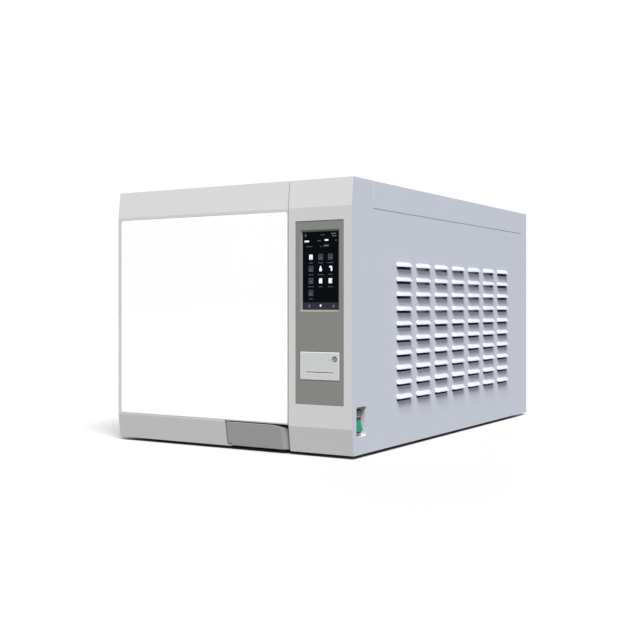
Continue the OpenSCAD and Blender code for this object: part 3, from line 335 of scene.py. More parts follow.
turned_steel = Finish("turned_stainless", paint(200, 200, 199), 0.26, 1.0)
across = turned_steel.node("ShaderNodeVectorMath", {"operation": "SUBTRACT"},
                           {0: turned_steel.place, 1: (vessel_x, 0, vessel_z)})
across = turned_steel.node("ShaderNodeVectorMath", {"operation": "MULTIPLY"},
                           {0: across, 1: (1, 0, 1)})
reach = turned_steel.node("ShaderNodeVectorMath", {"operation": "LENGTH"},
                          {0: across}, "Value")
grooves = turned_steel.node("ShaderNodeTexNoise", {"noise_dimensions": "1D"},
                            {"W": reach, "Scale": 2600, "Detail": 2}, "Fac")
worked(turned_steel, grooves, paint(182, 182, 183), paint(210, 210, 209),
       0.2, 0.18, 0.00005, 0.4)

softened("chamber_tube", "chamber_tube_rolled", brushed, 0)
softened("chamber_end", "chamber_end_spun", turned_steel, 0)
made(spun(ring(bore_r, flange_r, 0, 0.014, 0.0008), (vessel_x, seal_y, vessel_z)),
     "chamber_flange_turned", "cabinet", turned_steel, ("chamber_flange",))
bead = [(bore_r - 0.0002, -0.0022), (bore_r - 0.0009, -0.0008),
        (bore_r - 0.0009, 0.0008), (bore_r - 0.0002, 0.0022),
        (bore_r + 0.0005, 0), (bore_r - 0.0002, -0.0022)]
for name, at in (("mouth_weld", seal_y + 0.0145), ("end_weld", tube_end)):
    made(spun(bead, (vessel_x, at, vessel_z)), name, "cabinet", brushed)

# A cap keeps lint out of the steam port, and two probes reach in below it.
port_y = 0.184
port_cap = spun([(0, -0.0065), (0.006, -0.0062), (0.0125, -0.0035), (0.0135, 0),
                 (0.0135, 0.003), (0.012, 0.003), (0.012, 0.0005), (0, -0.003)],
                (vessel_x, port_y, vessel_z), steps=40)
made(port_cap, "steam_port_cap", "cabinet", turned_steel)
sheath = [(0, -0.055), (0.0018, -0.054), (0.0022, -0.052), (0.0022, -0.012),
          (0.006, -0.0115), (0.0065, -0.008), (0.0065, 0.004), (0, 0.004)]
for name, aside, behind, drop in (("probe_1", 0, 0.030, 0.06),
                                  ("probe_2", 0.02, 0.018, 0.085)):
    made(spun(sheath, (vessel_x + aside, tube_end + behind, vessel_z - drop), steps=24),
         name, "cabinet", brushed)

foil = Finish("foil_jacket", paint(186, 188, 190), 0.34, 0.85)
crumple = foil.noise(55, 5)
foil.tint(crumple, paint(160, 162, 166), paint(205, 206, 208))
foil.feed("Roughness", 0.22 + crumple * 0.3)
foil.relief(crumple + foil.noise(16, 3) * 0.6, 0.0016, 0.5)
softened("insulation_jacket", "jacket_wrapped", foil, 0.002, 3)
mica = Finish("mica_heater", paint(178, 152, 112), 0.55)
mica.shade(0.25, 120, 0.2, 5)
mica.relief(mica.noise(420, 4), 0.0002, 0.5)
coated(mica, "band_heater")


# ---- Trays and rack --------------------------------------------------------
# Three perforated trays of thin stainless sheet slide on the rails of one
# folded rack, which rests on the floor of the chamber.
rolled = Finish("rolled_stainless", paint(192, 193, 194), 0.32, 1.0)
worked(rolled, rolled.noise(700, 3, (1, 0.03, 1)), paint(172, 173, 175),
       paint(206, 207, 208), 0.25, 0.2, 0.00003, 0.4)
softened("tray_rack", "tray_rack_folded", rolled, 0.0002, 1)


def block(shape, middle, size):
    """Adds a block, which stands by its middle."""
    bmesh.ops.create_cube(shape, size=1, matrix=Matrix.LocRotScale(
        Vector(middle), None, Vector(size)))


def eased(shape, edges, offset, steps):
    """Rounds edges over by a small bevel."""
    bmesh.ops.bevel(shape, geom=edges, offset=offset, segments=steps, profile=0.5,
                    affect="EDGES", material=-1)


lip_size = (0.07, 0.003, 0.0022)
for level in ("upper", "middle", "lower"):
    softened(f"{level}_tray", f"{level}_tray_pressed", rolled, 0.0002, 1)
    # A folded pull lip stands at the front of each tray.
    low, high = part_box(f"{level}_tray")
    lip = bmesh.new()
    block(lip, (vessel_x, low.y - 0.0014, high.z - 0.0015), lip_size)
    eased(lip, lip.edges[:], 0.0009, 3)
    made(lip, f"{level}_tray_lip", "cabinet", rolled)


# ---- Bulkhead mouldings, hinge and lock ------------------------------------
# The moulded surround closes the gap between the vessel's mouth and the case.
# The door hangs on a ground steel pin, and a solenoid drives the lock pin.
def moulded(name, colour, roughness, grain=0.5, spread=0.015, scale=9):
    """A plastic moulding with a faintly sparked surface."""
    finish = Finish(name, colour, roughness)
    finish.shade(spread, scale, 0.06)
    finish.relief(finish.noise(1500, 2), 0.00004, grain)
    return finish


shell_white = moulded("shell_moulding", paint(199, 199, 199), 0.42)
softened("mouth_frame", "mouth_frame_moulded", shell_white, 0.0006)
ground = Finish("ground_steel", paint(178, 180, 183), 0.28, 1.0)
ground.shade(0.08, 300, 0.2, 3, (1, 1, 0.05))
softened("hinge_pin", "hinge_pin_ground", ground, 0.0005)
softened("lock_pin", "lock_pin_ground", ground, 0.001)
dark_plastic = moulded("dark_plastic", paint(38, 39, 42), 0.45, 0.6, 0.12, 40)
softened("lock_solenoid", "lock_solenoid_coil", dark_plastic, 0.001)


# ---- Steam, water and air --------------------------------------------------
# A lagged steam generator, brass valves and copper pipes serve the vessel. A
# diaphragm pump draws the vacuum through a finned condenser.
brass = Finish("cast_brass", paint(196, 164, 92), 0.34, 1.0)
brass.shade(0.14, 70, 0.25, 4)
brass.relief(brass.noise(500, 3), 0.00006, 0.4)
copper = Finish("drawn_copper", paint(196, 120, 82), 0.3, 1.0)
copper.shade(0.18, 45, 0.3, 4)
softened("steam_generator", "steam_generator_lagged", foil, 0.002, 3)
softened("safety_valve", "safety_valve_turned", brass, 0.0006)
softened("valve_manifold", "valve_manifold_block", brass, 0.0008)
softened("steam_pipes", "steam_pipes_bent", copper, 0)
softened("water_pump", "water_pump_body", dark_plastic, 0.0012)
cast = Finish("cast_aluminium", paint(150, 152, 155), 0.5, 0.7)
cast.shade(0.12, 90, 0.2, 4)
cast.relief(cast.noise(800, 4), 0.0002, 0.6)
softened("vacuum_pump", "vacuum_pump_cast", cast, 0.002, 3)
fins = Finish("fin_aluminium", paint(184, 187, 190), 0.36, 0.9)
fins.shade(0.1, 130, 0.2)
softened("condenser", "condenser_finned", fins, 0)


# ---- Water tanks -----------------------------------------------------------
# Two blow-moulded tanks stand side by side on a folded shelf, each with a
# filler neck under the hatch in the top cover. A strainer basket of wire mesh
# hangs in each neck.
tank_plastic = moulded("tank_plastic", paint(222, 225, 226), 0.35, 0.3, 0.02, 12)
for name in ("clean_tank", "used_tank"):
    softened(name, f"{name}_blown", tank_plastic, 0.003, 4)
mesh_wire = Finish("filter_mesh", paint(150, 153, 156), 0.35, 0.9)
weave = mesh_wire.node("ShaderNodeTexChecker", {}, {"Vector": mesh_wire.place,
                                                    "Scale": 900}, "Fac")
mesh_wire.tint(weave, paint(60, 62, 64), paint(170, 172, 175))
filler_x, neck_top = 0.1651, 0.396
for name, at in (("clean", -0.03), ("used", 0.076)):
    basket = spun([(0, -0.03), (0.021, -0.029), (0.0235, -0.026), (0.0245, -0.001),
                   (0.0285, -0.001), (0.0285, 0.0004), (0.0235, 0.0004),
                   (0.0225, -0.025), (0.0205, -0.0275), (0, -0.0285)],
                  (filler_x, at, neck_top), True, 56)
    made(basket, f"{name}_filler_basket", "cabinet", mesh_wire)


# ---- Power and control -----------------------------------------------------
# A vented supply sits on the base tray, and the main board stands above it.
solder_mask = Finish("solder_mask", paint(24, 92, 62), 0.35, 0.0, Coat_Weight=0.3)
board_back, board_thick, part_rise = 0.1187, 0.0017, 0.0008
on_parts = solder_mask.axis("X") > board_back + board_thick + part_rise
tracks = solder_mask.node("ShaderNodeTexVoronoi", {"feature": "DISTANCE_TO_EDGE"},
                          {"Vector": solder_mask.place, "Scale": 260}, "Distance")
board_green = solder_mask.mix(tracks < 0.06, paint(22, 84, 56), paint(52, 128, 86))
parts = solder_mask.noise(34, 1)
solder_mask.tint(on_parts, board_green, solder_mask.mix(
    parts > 0.5, paint(30, 30, 34), paint(120, 124, 130)))
softened("control_board", "control_board_built", solder_mask, 0.0005)
softened("power_supply", "power_supply_case", zinc, 0.0008)


# ---- Fan and rear panel ----------------------------------------------------
# An axial fan draws air through the condenser. The rear panel is powder-coated
# sheet and carries the wire guard, mains inlet, air filter and drain taps.
softened("fan_frame", "fan_frame_moulded", dark_plastic, 0.0006)
softened("fan_rotor", "fan_rotor_moulded", dark_plastic, 0.0004)

case_paint = Finish("case_powder_coat", paint(193, 197, 209), 0.46)
case_paint.shade(0.012, 7, 0.05)


def orange_peel(finish):
    """The faint bumps of a baked powder coat."""
    finish.relief(finish.noise(420, 2) + finish.noise(1700, 1) * 0.4, 0.00007, 0.4)


orange_peel(case_paint)
softened("rear_panel", "rear_panel_folded", case_paint, 0.0003)

wire = Finish("plated_wire", paint(188, 190, 192), 0.26, 1.0)
wire.shade(0.06, 200, 0.15)
fan_x, fan_z, rear_y = 0.0567, 0.290, 0.335
wire_r, arm = 0.0011, 0.0585


def round_bar(shape, start, end, radius, sides=12):
    """Adds a round bar between two points, with its ends rounded over."""
    run = Vector(end) - Vector(start)
    turn = run.to_track_quat("Z", "Y").to_matrix().to_4x4()
    middle = Matrix.Translation((Vector(start) + Vector(end)) / 2)
    bar = bmesh.ops.create_cone(shape, cap_ends=True, segments=sides, radius1=radius,
                                radius2=radius, depth=run.length, matrix=middle @ turn)
    caps = {edge for vert in bar["verts"] for face in vert.link_faces
            if len(face.verts) == sides for edge in face.edges}
    eased(shape, list(caps), radius * 0.4, 2)


def joined(shape, extra):
    """Puts the faces of one bmesh into another, and frees the first."""
    carried = bpy.data.meshes.new("carried")
    extra.to_mesh(carried)
    extra.free()
    shape.from_mesh(carried)
    bpy.data.meshes.remove(carried)


guard = bmesh.new()
turns = [k * math.tau / 10 for k in range(11)]
for k in range(5):
    hoop_r = 0.014 + 0.009 * k
    section = [(hoop_r + wire_r * math.cos(a), wire_r * math.sin(a)) for a in turns]
    joined(guard, spun(section, (fan_x, rear_y + 0.0012, fan_z), steps=72))
for dx, dz in ((1, 0), (0, 1)):
    round_bar(guard, (fan_x - arm * dx, rear_y + 0.0021, fan_z - arm * dz),
              (fan_x + arm * dx, rear_y + 0.0021, fan_z + arm * dz), wire_r)
made(guard, "fan_guard_welded", "cabinet", wire, ("fan_guard",), 50)


screw_x, screw_low, screw_high = 0.2065, 0.017, 0.391
screw_r, screw_head = 0.0035, 0.002
foot_high, case_high = 0.005, 0.4


def pan_screw(shape, x, z):
    """Adds a pan-head screw with a raised cross, on the rear panel."""
    joined(shape, spun([(0, screw_head), (screw_r * 0.45, screw_head * 0.98),
                        (screw_r * 0.8, screw_head * 0.8), (screw_r, screw_head * 0.45),
                        (screw_r, 0), (0, 0)], (x, rear_y, z), steps=20))
    for wide, high in ((0.55, 0.14), (0.14, 0.55)):
        block(shape, (x, rear_y + screw_head * 0.92, z),
              (screw_r * 2 * wide, screw_head * 0.2, screw_r * 2 * high))


screws = bmesh.new()
for x in (-screw_x, -screw_x / 3, screw_x / 3, screw_x):
    for z in (screw_low, screw_high):
        pan_screw(screws, x, z)
for x in (-screw_x, screw_x):
    for third in (1, 2):
        pan_screw(screws, x, foot_high + case_high * third / 3)
made(screws, "rear_screws", "cabinet", wire, ("panel_screws",))

softened("mains_inlet", "mains_inlet_moulded", dark_plastic, 0.0005)
filter_white = moulded("filter_housing", paint(225, 226, 226), 0.38, 0.4)
filter_x, filter_z = -0.145, 0.310
drum = spun([(0, -0.010), (0.0057, -0.010), (0.0057, 0.004), (0.0235, 0.004),
             (0.024, 0.0045), (0.024, 0.0068), (0.0272, 0.007), (0.028, 0.0078),
             (0.028, 0.0142), (0.0272, 0.015), (0.0245, 0.0152), (0.024, 0.0175),
             (0.0232, 0.018), (0.019, 0.0175), (0.0185, 0.0168), (0.012, 0.0168),
             (0.0115, 0.0178), (0.0042, 0.0182), (0.0038, 0.0188), (0.004, 0.0225),
             (0.0035, 0.023), (0, 0.023)], (filter_x, rear_y, filter_z))
made(drum, "air_filter_drum", "cabinet", filter_white, ("bacteria_filter",))
grips = bmesh.new()
grip_r, grip_count = 0.0272, 24
for k in range(grip_count):
    turn = k * math.tau / grip_count
    x, z = filter_x + grip_r * math.cos(turn), filter_z + grip_r * math.sin(turn)
    round_bar(grips, (x, rear_y + 0.0082, z), (x, rear_y + 0.0138, z), 0.0008, 8)
made(grips, "air_filter_grips", "cabinet", filter_white)

softened("drain_valves", "drain_valves_turned", brass, 0.0006)
for name, colour in (("clean", paint(38, 92, 168)), ("used", paint(176, 44, 40))):
    knob = moulded(f"{name}_knob_plastic", colour, 0.36, 0.4, 0.05, 60)
    softened(f"{name}_tap_knob", f"{name}_tap_lever", knob, 0.0009, 3)


# ---- Case panels -----------------------------------------------------------
# The sides are pressed with rows of louvres and folded at the rear. The cover
# drops a short skirt over them and has a hatch above the tank fillers.
case_side = 0.220
louvre_y, louvre_z = -0.220, 0.2805
pitch_y, pitch_z = 0.0699, 0.02265
louvre_long, louvre_high, louvre_gap, louvre_reach = 0.050, 0.007, 0.004, 0.006
sheet_thick, fold_wide, hood_thick, hood_sunk = 0.0015, 0.012, 0.0009, 0.0008
louvre_places = [(louvre_y + pitch_y * k, louvre_z - pitch_z * row)
                 for row in range(10) for k in range(7)]


def louvre(shape, face, y, z):
    """Adds one pressed louvre: a thin hood, open below, with rounded shoulders."""
    # How far the hood stands out at stations along it, as a share of its reach.
    stations = ((0, 0.12), (0.0012, 0.62), (0.0032, 0.92), (0.0065, 1.0))
    stations += tuple((louvre_long - at, share) for at, share in reversed(stations))
    # Its section there, from the lower lip outside to the sheet above: out, up.
    curve = ((1.0, 0.0), (0.96, 0.14), (0.84, 0.34), (0.62, 0.56), (0.34, 0.78),
             (0.12, 0.93), (0.0, 1.0))
    rows = []
    for inset in (0, hood_thick):
        for at, share in stations:
            at += inset * (1 if at < louvre_long / 2 else -1)
            stands_out = louvre_reach * share - inset
            stands_up = (louvre_high - inset) * (0.55 + 0.45 * share)
            rows.append([shape.verts.new((face + max(stands_out * out, -hood_sunk),
                                          y + at, z + stands_up * up))
                         for out, up in curve])
    half = len(stations)
    for skin in (rows[:half], rows[half:]):
        for one, two in zip(skin, skin[1:]):
            for k in range(len(curve) - 1):
                shape.faces.new((one[k], one[k + 1], two[k + 1], two[k]))
    for k in range(half - 1):
        shape.faces.new((rows[k][0], rows[k + 1][0],
                         rows[half + k + 1][0], rows[half + k][0]))


for side in ("left", "right"):
    low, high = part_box(f"{side}_side_panel")
    skin = bmesh.new()
    bmesh.ops.create_grid(skin, x_segments=1, y_segments=1, size=0.5)
    bmesh.ops.scale(skin, vec=((high.y - low.y), (high.z - low.z), 1), verts=skin.verts)
    bmesh.ops.translate(skin, vec=((low.y + high.y) / 2, (low.z + high.z) / 2, 0),
                        verts=skin.verts)
    cuts = [((y + step, 0, 0), (1, 0, 0)) for y in {p[0] for p in louvre_places}
            for step in (0.001, louvre_long - 0.001)]
    cuts += [((0, z + step, 0), (0, 1, 0)) for z in {p[1] for p in louvre_places}
             for step in (-louvre_gap, louvre_high * 0.5)]
    for spot, way in sorted(cuts):
        bmesh.ops.bisect_plane(skin, geom=skin.verts[:] + skin.edges[:] + skin.faces[:],
                               plane_co=spot, plane_no=way)
    slots = []
    for patch in skin.faces:
        middle = patch.calc_center_median()
        if any(0 < middle.x - y < louvre_long
               and -louvre_gap < middle.y - z < louvre_high / 2
               for y, z in louvre_places):
            slots.append(patch)
    bmesh.ops.delete(skin, geom=slots, context="FACES")
    back = bmesh.ops.extrude_face_region(skin, geom=skin.faces[:])["geom"]
    bmesh.ops.translate(skin, vec=(0, 0, -sheet_thick),
                        verts=[part for part in back if isinstance(part, bmesh.types.BMVert)])
    # Stand the flat sheet up: its x runs to the rear, its y upwards, its z outwards.
    bmesh.ops.transform(skin, verts=skin.verts, matrix=Matrix(
        ((0, 0, 1, case_side), (1, 0, 0, 0), (0, 1, 0, 0), (0, 0, 0, 1))))
    bmesh.ops.recalc_face_normals(skin, faces=skin.faces)
    hoods = bmesh.new()
    for y, z in louvre_places:
        louvre(hoods, case_side, y, z)
    bmesh.ops.recalc_face_normals(hoods, faces=hoods.faces)
    joined(skin, hoods)
    block(skin, (case_side - sheet_thick - fold_wide / 2, high.y - sheet_thick / 2,
                 (low.z + high.z) / 2), (fold_wide, sheet_thick, high.z - low.z))
    if side == "left":
        bmesh.ops.scale(skin, vec=(-1, 1, 1), verts=skin.verts)
        bmesh.ops.reverse_faces(skin, faces=skin.faces)
    made(skin, f"{side}_louvre_panel", "cabinet", case_paint,
         (f"{side}_side_panel",), 38)

# The flat top is painted a little darker than the skirt, as painted shade, so the lamp
# doesn't burn it out.
flat_top = 0.4044
cover_paint = Finish("cover_powder_coat", paint(193, 197, 209), 0.5, 0.0,
                     Specular_IOR_Level=0.3)
cover_clouds = cover_paint.noise(7, 3)
cover_paint.tint(
    cover_paint.axis("Z") > flat_top,
    cover_paint.mix(cover_clouds, paint(192, 196, 208), paint(194, 198, 210)),
    # These darker colours are the painted shade on the flat top only.
    cover_paint.mix(cover_clouds, paint(171, 175, 188), paint(174, 178, 191)))
orange_peel(cover_paint)
softened("top_cover", "top_cover_folded", cover_paint, 0.0005)
softened("tank_hatch", "tank_hatch_folded", cover_paint, 0.0006)
# Two small dark marks show which edge of the hatch lifts.
pulls = bmesh.new()
hatch_low, hatch_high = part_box("tank_hatch")
for aside in (-0.012, 0.012):
    block(pulls, ((hatch_low.x + hatch_high.x) / 2 + aside, hatch_low.y + 0.009,
                  hatch_high.z - 0.0004), (0.018, 0.0022, 0.0008))
eased(pulls, pulls.edges[:], 0.00025, 2)
made(pulls, "hatch_pull_marks", "hatch", dark_plastic)


# ---- Control column --------------------------------------------------------
# A painted moulding with sloping bands top and bottom. Its outer side is
# painted to match the case.
column_paint = Finish("column_moulding", paint(199, 199, 199), 0.42)
outer_side = column_paint.axis("X") > case_side - 0.0003
clouds = column_paint.noise(9, 3)
column_paint.tint(
    outer_side, column_paint.mix(clouds, paint(197, 197, 197), paint(201, 201, 201)),
    column_paint.mix(clouds, paint(190, 195, 207), paint(194, 199, 211)))
column_paint.feed("Roughness", 0.4 + clouds * 0.06)
column_paint.relief(column_paint.noise(1500, 2), 0.00004, 0.5)
softened("control_column", "control_column_moulded", column_paint, 0.0008, 3)


# ---- Control panel and touch screen ----------------------------------------
# A grey moulded panel is let into the column. Its window slopes in to the
# glass of the touch screen, and the printer's door fills a second window.
panel_grey = moulded("panel_moulding", paint(127, 127, 123), 0.5, 0.7, 0.02, 14)
panel_face, panel_back, glass_face = -0.3595, -0.3565, -0.357
plate_low, plate_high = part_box("control_panel")
glass_low, glass_high = Vector((0.1354, 0, 0.2141)), Vector((0.1964, 0, 0.3281))
door_low, door_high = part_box("printer_door")


def grown(outline, by):
    """The outline of a rectangle, larger by a margin on every side."""
    return (outline[0] - by, outline[1] + by, outline[2] - by, outline[3] + by)


def loop_of(shape, x0, x1, z0, z1, y, radius, steps=5):
    """A closed loop of edges: a rectangle across the front with rounded corners."""
    spots = []
    for x, z, start in ((x1, z1, 0), (x0, z1, 90), (x0, z0, 180), (x1, z0, 270)):
        inward_x = math.copysign(radius, x - (x0 + x1) / 2)
        inward_z = math.copysign(radius, z - (z0 + z1) / 2)
        for k in range(steps + 1):
            turn = math.radians(start + 90 * k / steps)
            spots.append((x - inward_x + radius * math.cos(turn), y,
                          z - inward_z + radius * math.sin(turn)))
    verts = [shape.verts.new(spot) for spot in spots]
    return verts, [shape.edges.new(pair) for pair in zip(verts, verts[1:] + verts[:1])]


def walls(shape, first, second):
    """Joins two loops with the same count of points by a band of faces."""
    bmesh.ops.bridge_loops(shape, edges=first[1] + second[1])


plate = bmesh.new()
slope_wide, edge_cut, door_gap = 0.0026, 0.0004, 0.0004
outline = (plate_low.x, plate_high.x, plate_low.z, plate_high.z)
front_edge = loop_of(plate, *outline, panel_face + edge_cut, 0.0015)
front_rim = loop_of(plate, *grown(outline, -edge_cut), panel_face, 0.0013)
back_edge = loop_of(plate, *outline, panel_back, 0.0015)
window = (glass_low.x, glass_high.x, glass_low.z, glass_high.z)
window_rim = loop_of(plate, *grown(window, slope_wide), panel_face, 0.001)
window_foot = loop_of(plate, *window, glass_face - 0.0001, 0.0004)
window_back = loop_of(plate, *window, panel_back, 0.0004)
door_outline = (door_low.x, door_high.x, door_low.z, door_high.z)
bay = grown(door_outline, door_gap)
bay_rim = loop_of(plate, *bay, panel_face, 0.0004)
bay_back = loop_of(plate, *bay, panel_back, 0.0004)
bmesh.ops.triangle_fill(plate, use_beauty=True, normal=(0, -1, 0),
                        edges=front_rim[1] + window_rim[1] + bay_rim[1])
bmesh.ops.triangle_fill(plate, use_beauty=True, normal=(0, 1, 0),
                        edges=back_edge[1] + window_back[1] + bay_back[1])
for pair in ((front_rim, front_edge), (front_edge, back_edge), (window_rim, window_foot),
             (window_foot, window_back), (bay_rim, bay_back)):
    walls(plate, *pair)
bmesh.ops.recalc_face_normals(plate, faces=plate.faces)
made(plate, "control_panel_moulded", "cabinet", panel_grey,
     ("control_panel",))

glass = Finish("screen_glass", paint(7, 9, 16), 0.12, 0.0, Specular_IOR_Level=0.1)
glass.tint(glass.noise(22, 2), paint(2, 3, 6), paint(6, 8, 14))
softened("touch_display", "touch_screen_glass", glass, 0.0003)


def lit(name, colour, strength):
    """The colour of something shown on the screen, faintly uneven."""
    finish = Finish(name, colour, 0.3, 0.0, Emission_Color=colour,
                    Emission_Strength=strength)
    darker = tuple(c * 0.86 for c in colour[:3]) + (1,)
    finish.tint(finish.noise(1300, 1), darker, colour)
    return finish


screen_wide, screen_tall = window[1] - window[0], window[3] - window[2]


def tile(shape, u, v, wide, high, corner, lift):
    """Adds a thin raised patch on the glass, centred at shares u and v of it."""
    x = window[0] + u * screen_wide
    z = window[3] - v * screen_tall
    corner = min(corner, wide * 0.49, high * 0.49)
    patch = (x - wide / 2, x + wide / 2, z - high / 2, z + high / 2)
    front = loop_of(shape, *patch, glass_face - lift, corner, 3)
    back = loop_of(shape, *patch, glass_face + 0.0001, corner, 3)
    shape.faces.new(front[0])
    shape.faces.new(back[0])
    walls(shape, front, back)


def shown(name, finish, tiles):
    """One piece made of tiles: (u, v, width, height, corner, lift), lengths in mm."""
    shape = bmesh.new()
    for u, v, wide, high, corner, lift in tiles:
        tile(shape, u, v, wide / 1000, high / 1000, corner / 1000, lift / 1000)
    bmesh.ops.recalc_face_normals(shape, faces=shape.faces)
    made(shape, name, "cabinet", finish)


bright, dim, faint = (lit("icon_white", paint(232, 236, 244), 0.35),
                      lit("icon_grey", paint(92, 98, 112), 0.1),
                      lit("caption_grey", paint(70, 78, 92), 0.1))
nav = lit("navigation_bar", paint(36, 36, 52), 0.04)
accent = lit("status_teal", paint(50, 92, 112), 0.12)
columns, rows = (0.235, 0.505, 0.775), (0.325, 0.475, 0.63, 0.785)
shown("screen_navigation_bar", nav, [(0.5, 0.952, 60.2, 10.6, 0.3, 0.06)])
shown("screen_status_marks", accent, [
    (0.085, 0.045, 3.0, 4.6, 0.8, 0.1), (0.56, 0.045, 7.0, 1.0, 0.4, 0.1),
    (0.47, 0.118, 6.0, 1.4, 0.5, 0.1), (0.19, 0.19, 10.0, 1.0, 0.4, 0.1),
    (0.52, 0.19, 3.0, 1.0, 0.4, 0.1)])
shown("screen_header_fields", bright, [
    (0.12, 0.122, 7.6, 2.4, 0.6, 0.1), (0.67, 0.112, 6.4, 2.2, 0.6, 0.1)])
shown("screen_header_notes", dim, [
    (0.86, 0.032, 8.6, 1.6, 0.5, 0.1), (0.88, 0.062, 7.4, 1.4, 0.5, 0.1),
    (0.66, 0.182, 8.4, 2.4, 0.5, 0.1), (0.93, 0.118, 2.2, 1.2, 0.4, 0.1)])

# Plain icons stand in rows, each made of a few tiles. A bright one is white
# patches with dark marks on them: dx, dz, width and height in mm. The others
# are a grey frame round two bars.
glass_wide, glass_tall = 61, 114
patches, marks, frames = [], [], []
frame_tiles = ((0, -3.8, 7.4, 0.7), (0, 3.8, 7.4, 0.7), (-3.4, 0, 0.7, 7.6),
               (3.4, 0, 0.7, 7.6), (0, -1.4, 4.4, 0.9), (0, 1.2, 4.4, 2.0))
glyphs = {
    (0, 0): ([(0, 0, 5.8, 7.4)], [(0, 1.6, 3.0, 0.5), (0, 2.6, 3.0, 0.5)]),
    (1, 1): ([(0, -2.4, 2.2, 3.0), (0, 1.4, 4.2, 4.8)], [(0, 2.2, 2.0, 0.5)]),
    (2, 1): ([(0.4, -2.6, 5.0, 2.2), (1.9, 0.8, 2.6, 5.6)], [(-1.6, 1.6, 1.6, 0.6)]),
    (1, 2): ([(0, 0, 5.4, 7.4)], [(-2.4, -2.6, 1.0, 1.6), (0, 2.2, 2.6, 0.5)]),
    (2, 2): ([(0, 0, 5.8, 7.2)], [(2.4, 0.4, 1.2, 1.4), (-0.4, 2.4, 2.4, 0.5)]),
}
# The last row holds one icon only.
places = [(column, row, u, v) for row, v in enumerate(rows)
          for column, u in enumerate(columns) if not (row == 3 and column)]
for column, row, u, v in places:
    if (column, row) in glyphs:
        white_tiles, dark_tiles = glyphs[(column, row)]
        groups = ((patches, white_tiles, 0.9, 0.1), (marks, dark_tiles, 0.25, 0.16))
    else:
        groups = ((frames, frame_tiles, 0.25, 0.1),)
    for group, tiles, corner, lift in groups:
        group += [(u + dx / glass_wide, v + dz / glass_tall, wide, high, corner, lift)
                  for dx, dz, wide, high in tiles]
captions = [(u, v + 0.075, 7.0 + 1.6 * ((row + column) % 3), 1.1, 0.4, 0.08)
            for column, row, u, v in places]
shown("screen_bright_icons", bright, patches)
shown("screen_icon_marks", glass, marks)
shown("screen_grey_icons", dim, frames)
shown("screen_captions", faint, captions)
shown("screen_navigation_icons", dim, [
    (0.19, 0.952, 3.2, 4.6, 1.0, 0.12), (0.865, 0.952, 4.2, 4.2, 2.0, 0.12)])
shown("screen_home_icon", bright, [(0.505, 0.945, 3.0, 3.2, 1.4, 0.12)])


# ---- Label printer ---------------------------------------------------------
# A pale plastic door closes the thermal printer. Paper leaves through its
# slot, and a small feed button with a pale ring sits in its corner.
printer_white = moulded("printer_moulding", paint(197, 199, 198), 0.4, 0.4)
button_x, button_z, button_hole = 0.1914, 0.1432, 0.0026
slot_x, slot_z = door_low.x + 0.0104, door_low.z + 0.0111
slot_wide, slot_tall = 0.0466, 0.001

flap = bmesh.new()
slot_outline = (slot_x, slot_x + slot_wide, slot_z, slot_z + slot_tall)
hole_outline = grown((button_x, button_x, button_z, button_z), button_hole)
flap_fronts, flap_backs = [], []
for border, corner, cut in ((door_outline, 0.0012, -0.0011),
                            (slot_outline, 0.00045, 0.0003),
                            (hole_outline, 0.0024, 0.0003)):
    rim = loop_of(flap, *grown(border, cut), door_low.y, corner)
    edge = loop_of(flap, *border, door_low.y + abs(cut) * 0.9, corner)
    back = loop_of(flap, *border, door_high.y, corner)
    flap_fronts += rim[1]
    flap_backs += back[1]
    walls(flap, rim, edge)
    walls(flap, edge, back)
bmesh.ops.triangle_fill(flap, use_beauty=True, normal=(0, -1, 0), edges=flap_fronts)
bmesh.ops.triangle_fill(flap, use_beauty=True, normal=(0, 1, 0), edges=flap_backs)
bmesh.ops.recalc_face_normals(flap, faces=flap.faces)
made(flap, "printer_door_moulded", "printer_door", printer_white,
     ("printer_door",), 30)
softened("printer_frame", "printer_frame_moulded", dark_plastic, 0.0003)
thermal_paper = Finish("thermal_paper", paint(238, 238, 232), 0.7)
thermal_paper.shade(0.015, 400, 0.05)
softened("paper_roll", "paper_roll_wound", thermal_paper, 0.0003)
button_grey = moulded("button_rubber", paint(132, 135, 131), 0.5, 0.5, 0.05, 200)
softened("feed_button", "feed_button_moulded", button_grey, 0.0003)
ring_pale = moulded("button_ring", paint(206, 208, 204), 0.35, 0.3)
made(spun(ring(0.0029, 0.0042, -0.0001, 0.0004, 0.0001),
          (button_x, door_low.y + 0.0001, button_z), steps=48),
     "feed_button_ring", "printer_door", ring_pale)
dash_x, dash_z = 0.1839, 0.1419
dash = bmesh.new()
block(dash, (dash_x, door_low.y + 0.0001, dash_z), (0.0009, 0.0005, 0.0034))
eased(dash, dash.edges[:], 0.0001, 1)
made(dash, "printer_lamp_slit", "printer_door", button_grey)


# ---- Power switch ----------------------------------------------------------
# A lit rocker sits in a black bezel at the bottom of a rounded pocket. Its
# lower half is green, and a pale line marks the middle. The lavender grey of its upper half
# is a painted reflection.
softened("switch_body", "switch_bezel_moulded", dark_plastic, 0.0006, 3)
rocker_gloss = Finish("rocker_plastic", paint(20, 130, 105), 0.2, 0.0, Coat_Weight=0.4)
lens_top, line_foot, line_top = 0.0546, 0.0584, 0.0602
level = rocker_gloss.axis("Z")
cloud = rocker_gloss.noise(180, 2)
green = rocker_gloss.mix(cloud, paint(16, 112, 88), paint(24, 148, 118))
# Painted reflection: a lavender grey laid over the upper half of the rocker.
painted_reflection = rocker_gloss.mix(cloud, paint(86, 86, 98), paint(112, 110, 124))
low_part = rocker_gloss.mix(level > lens_top, green, paint(14, 16, 18))
high_part = rocker_gloss.mix(level > line_top, paint(196, 140, 158), painted_reflection)
rocker_gloss.tint(level > line_foot, low_part, high_part)
softened("power_rocker", "power_rocker_moulded", rocker_gloss, 0.0008, 3)


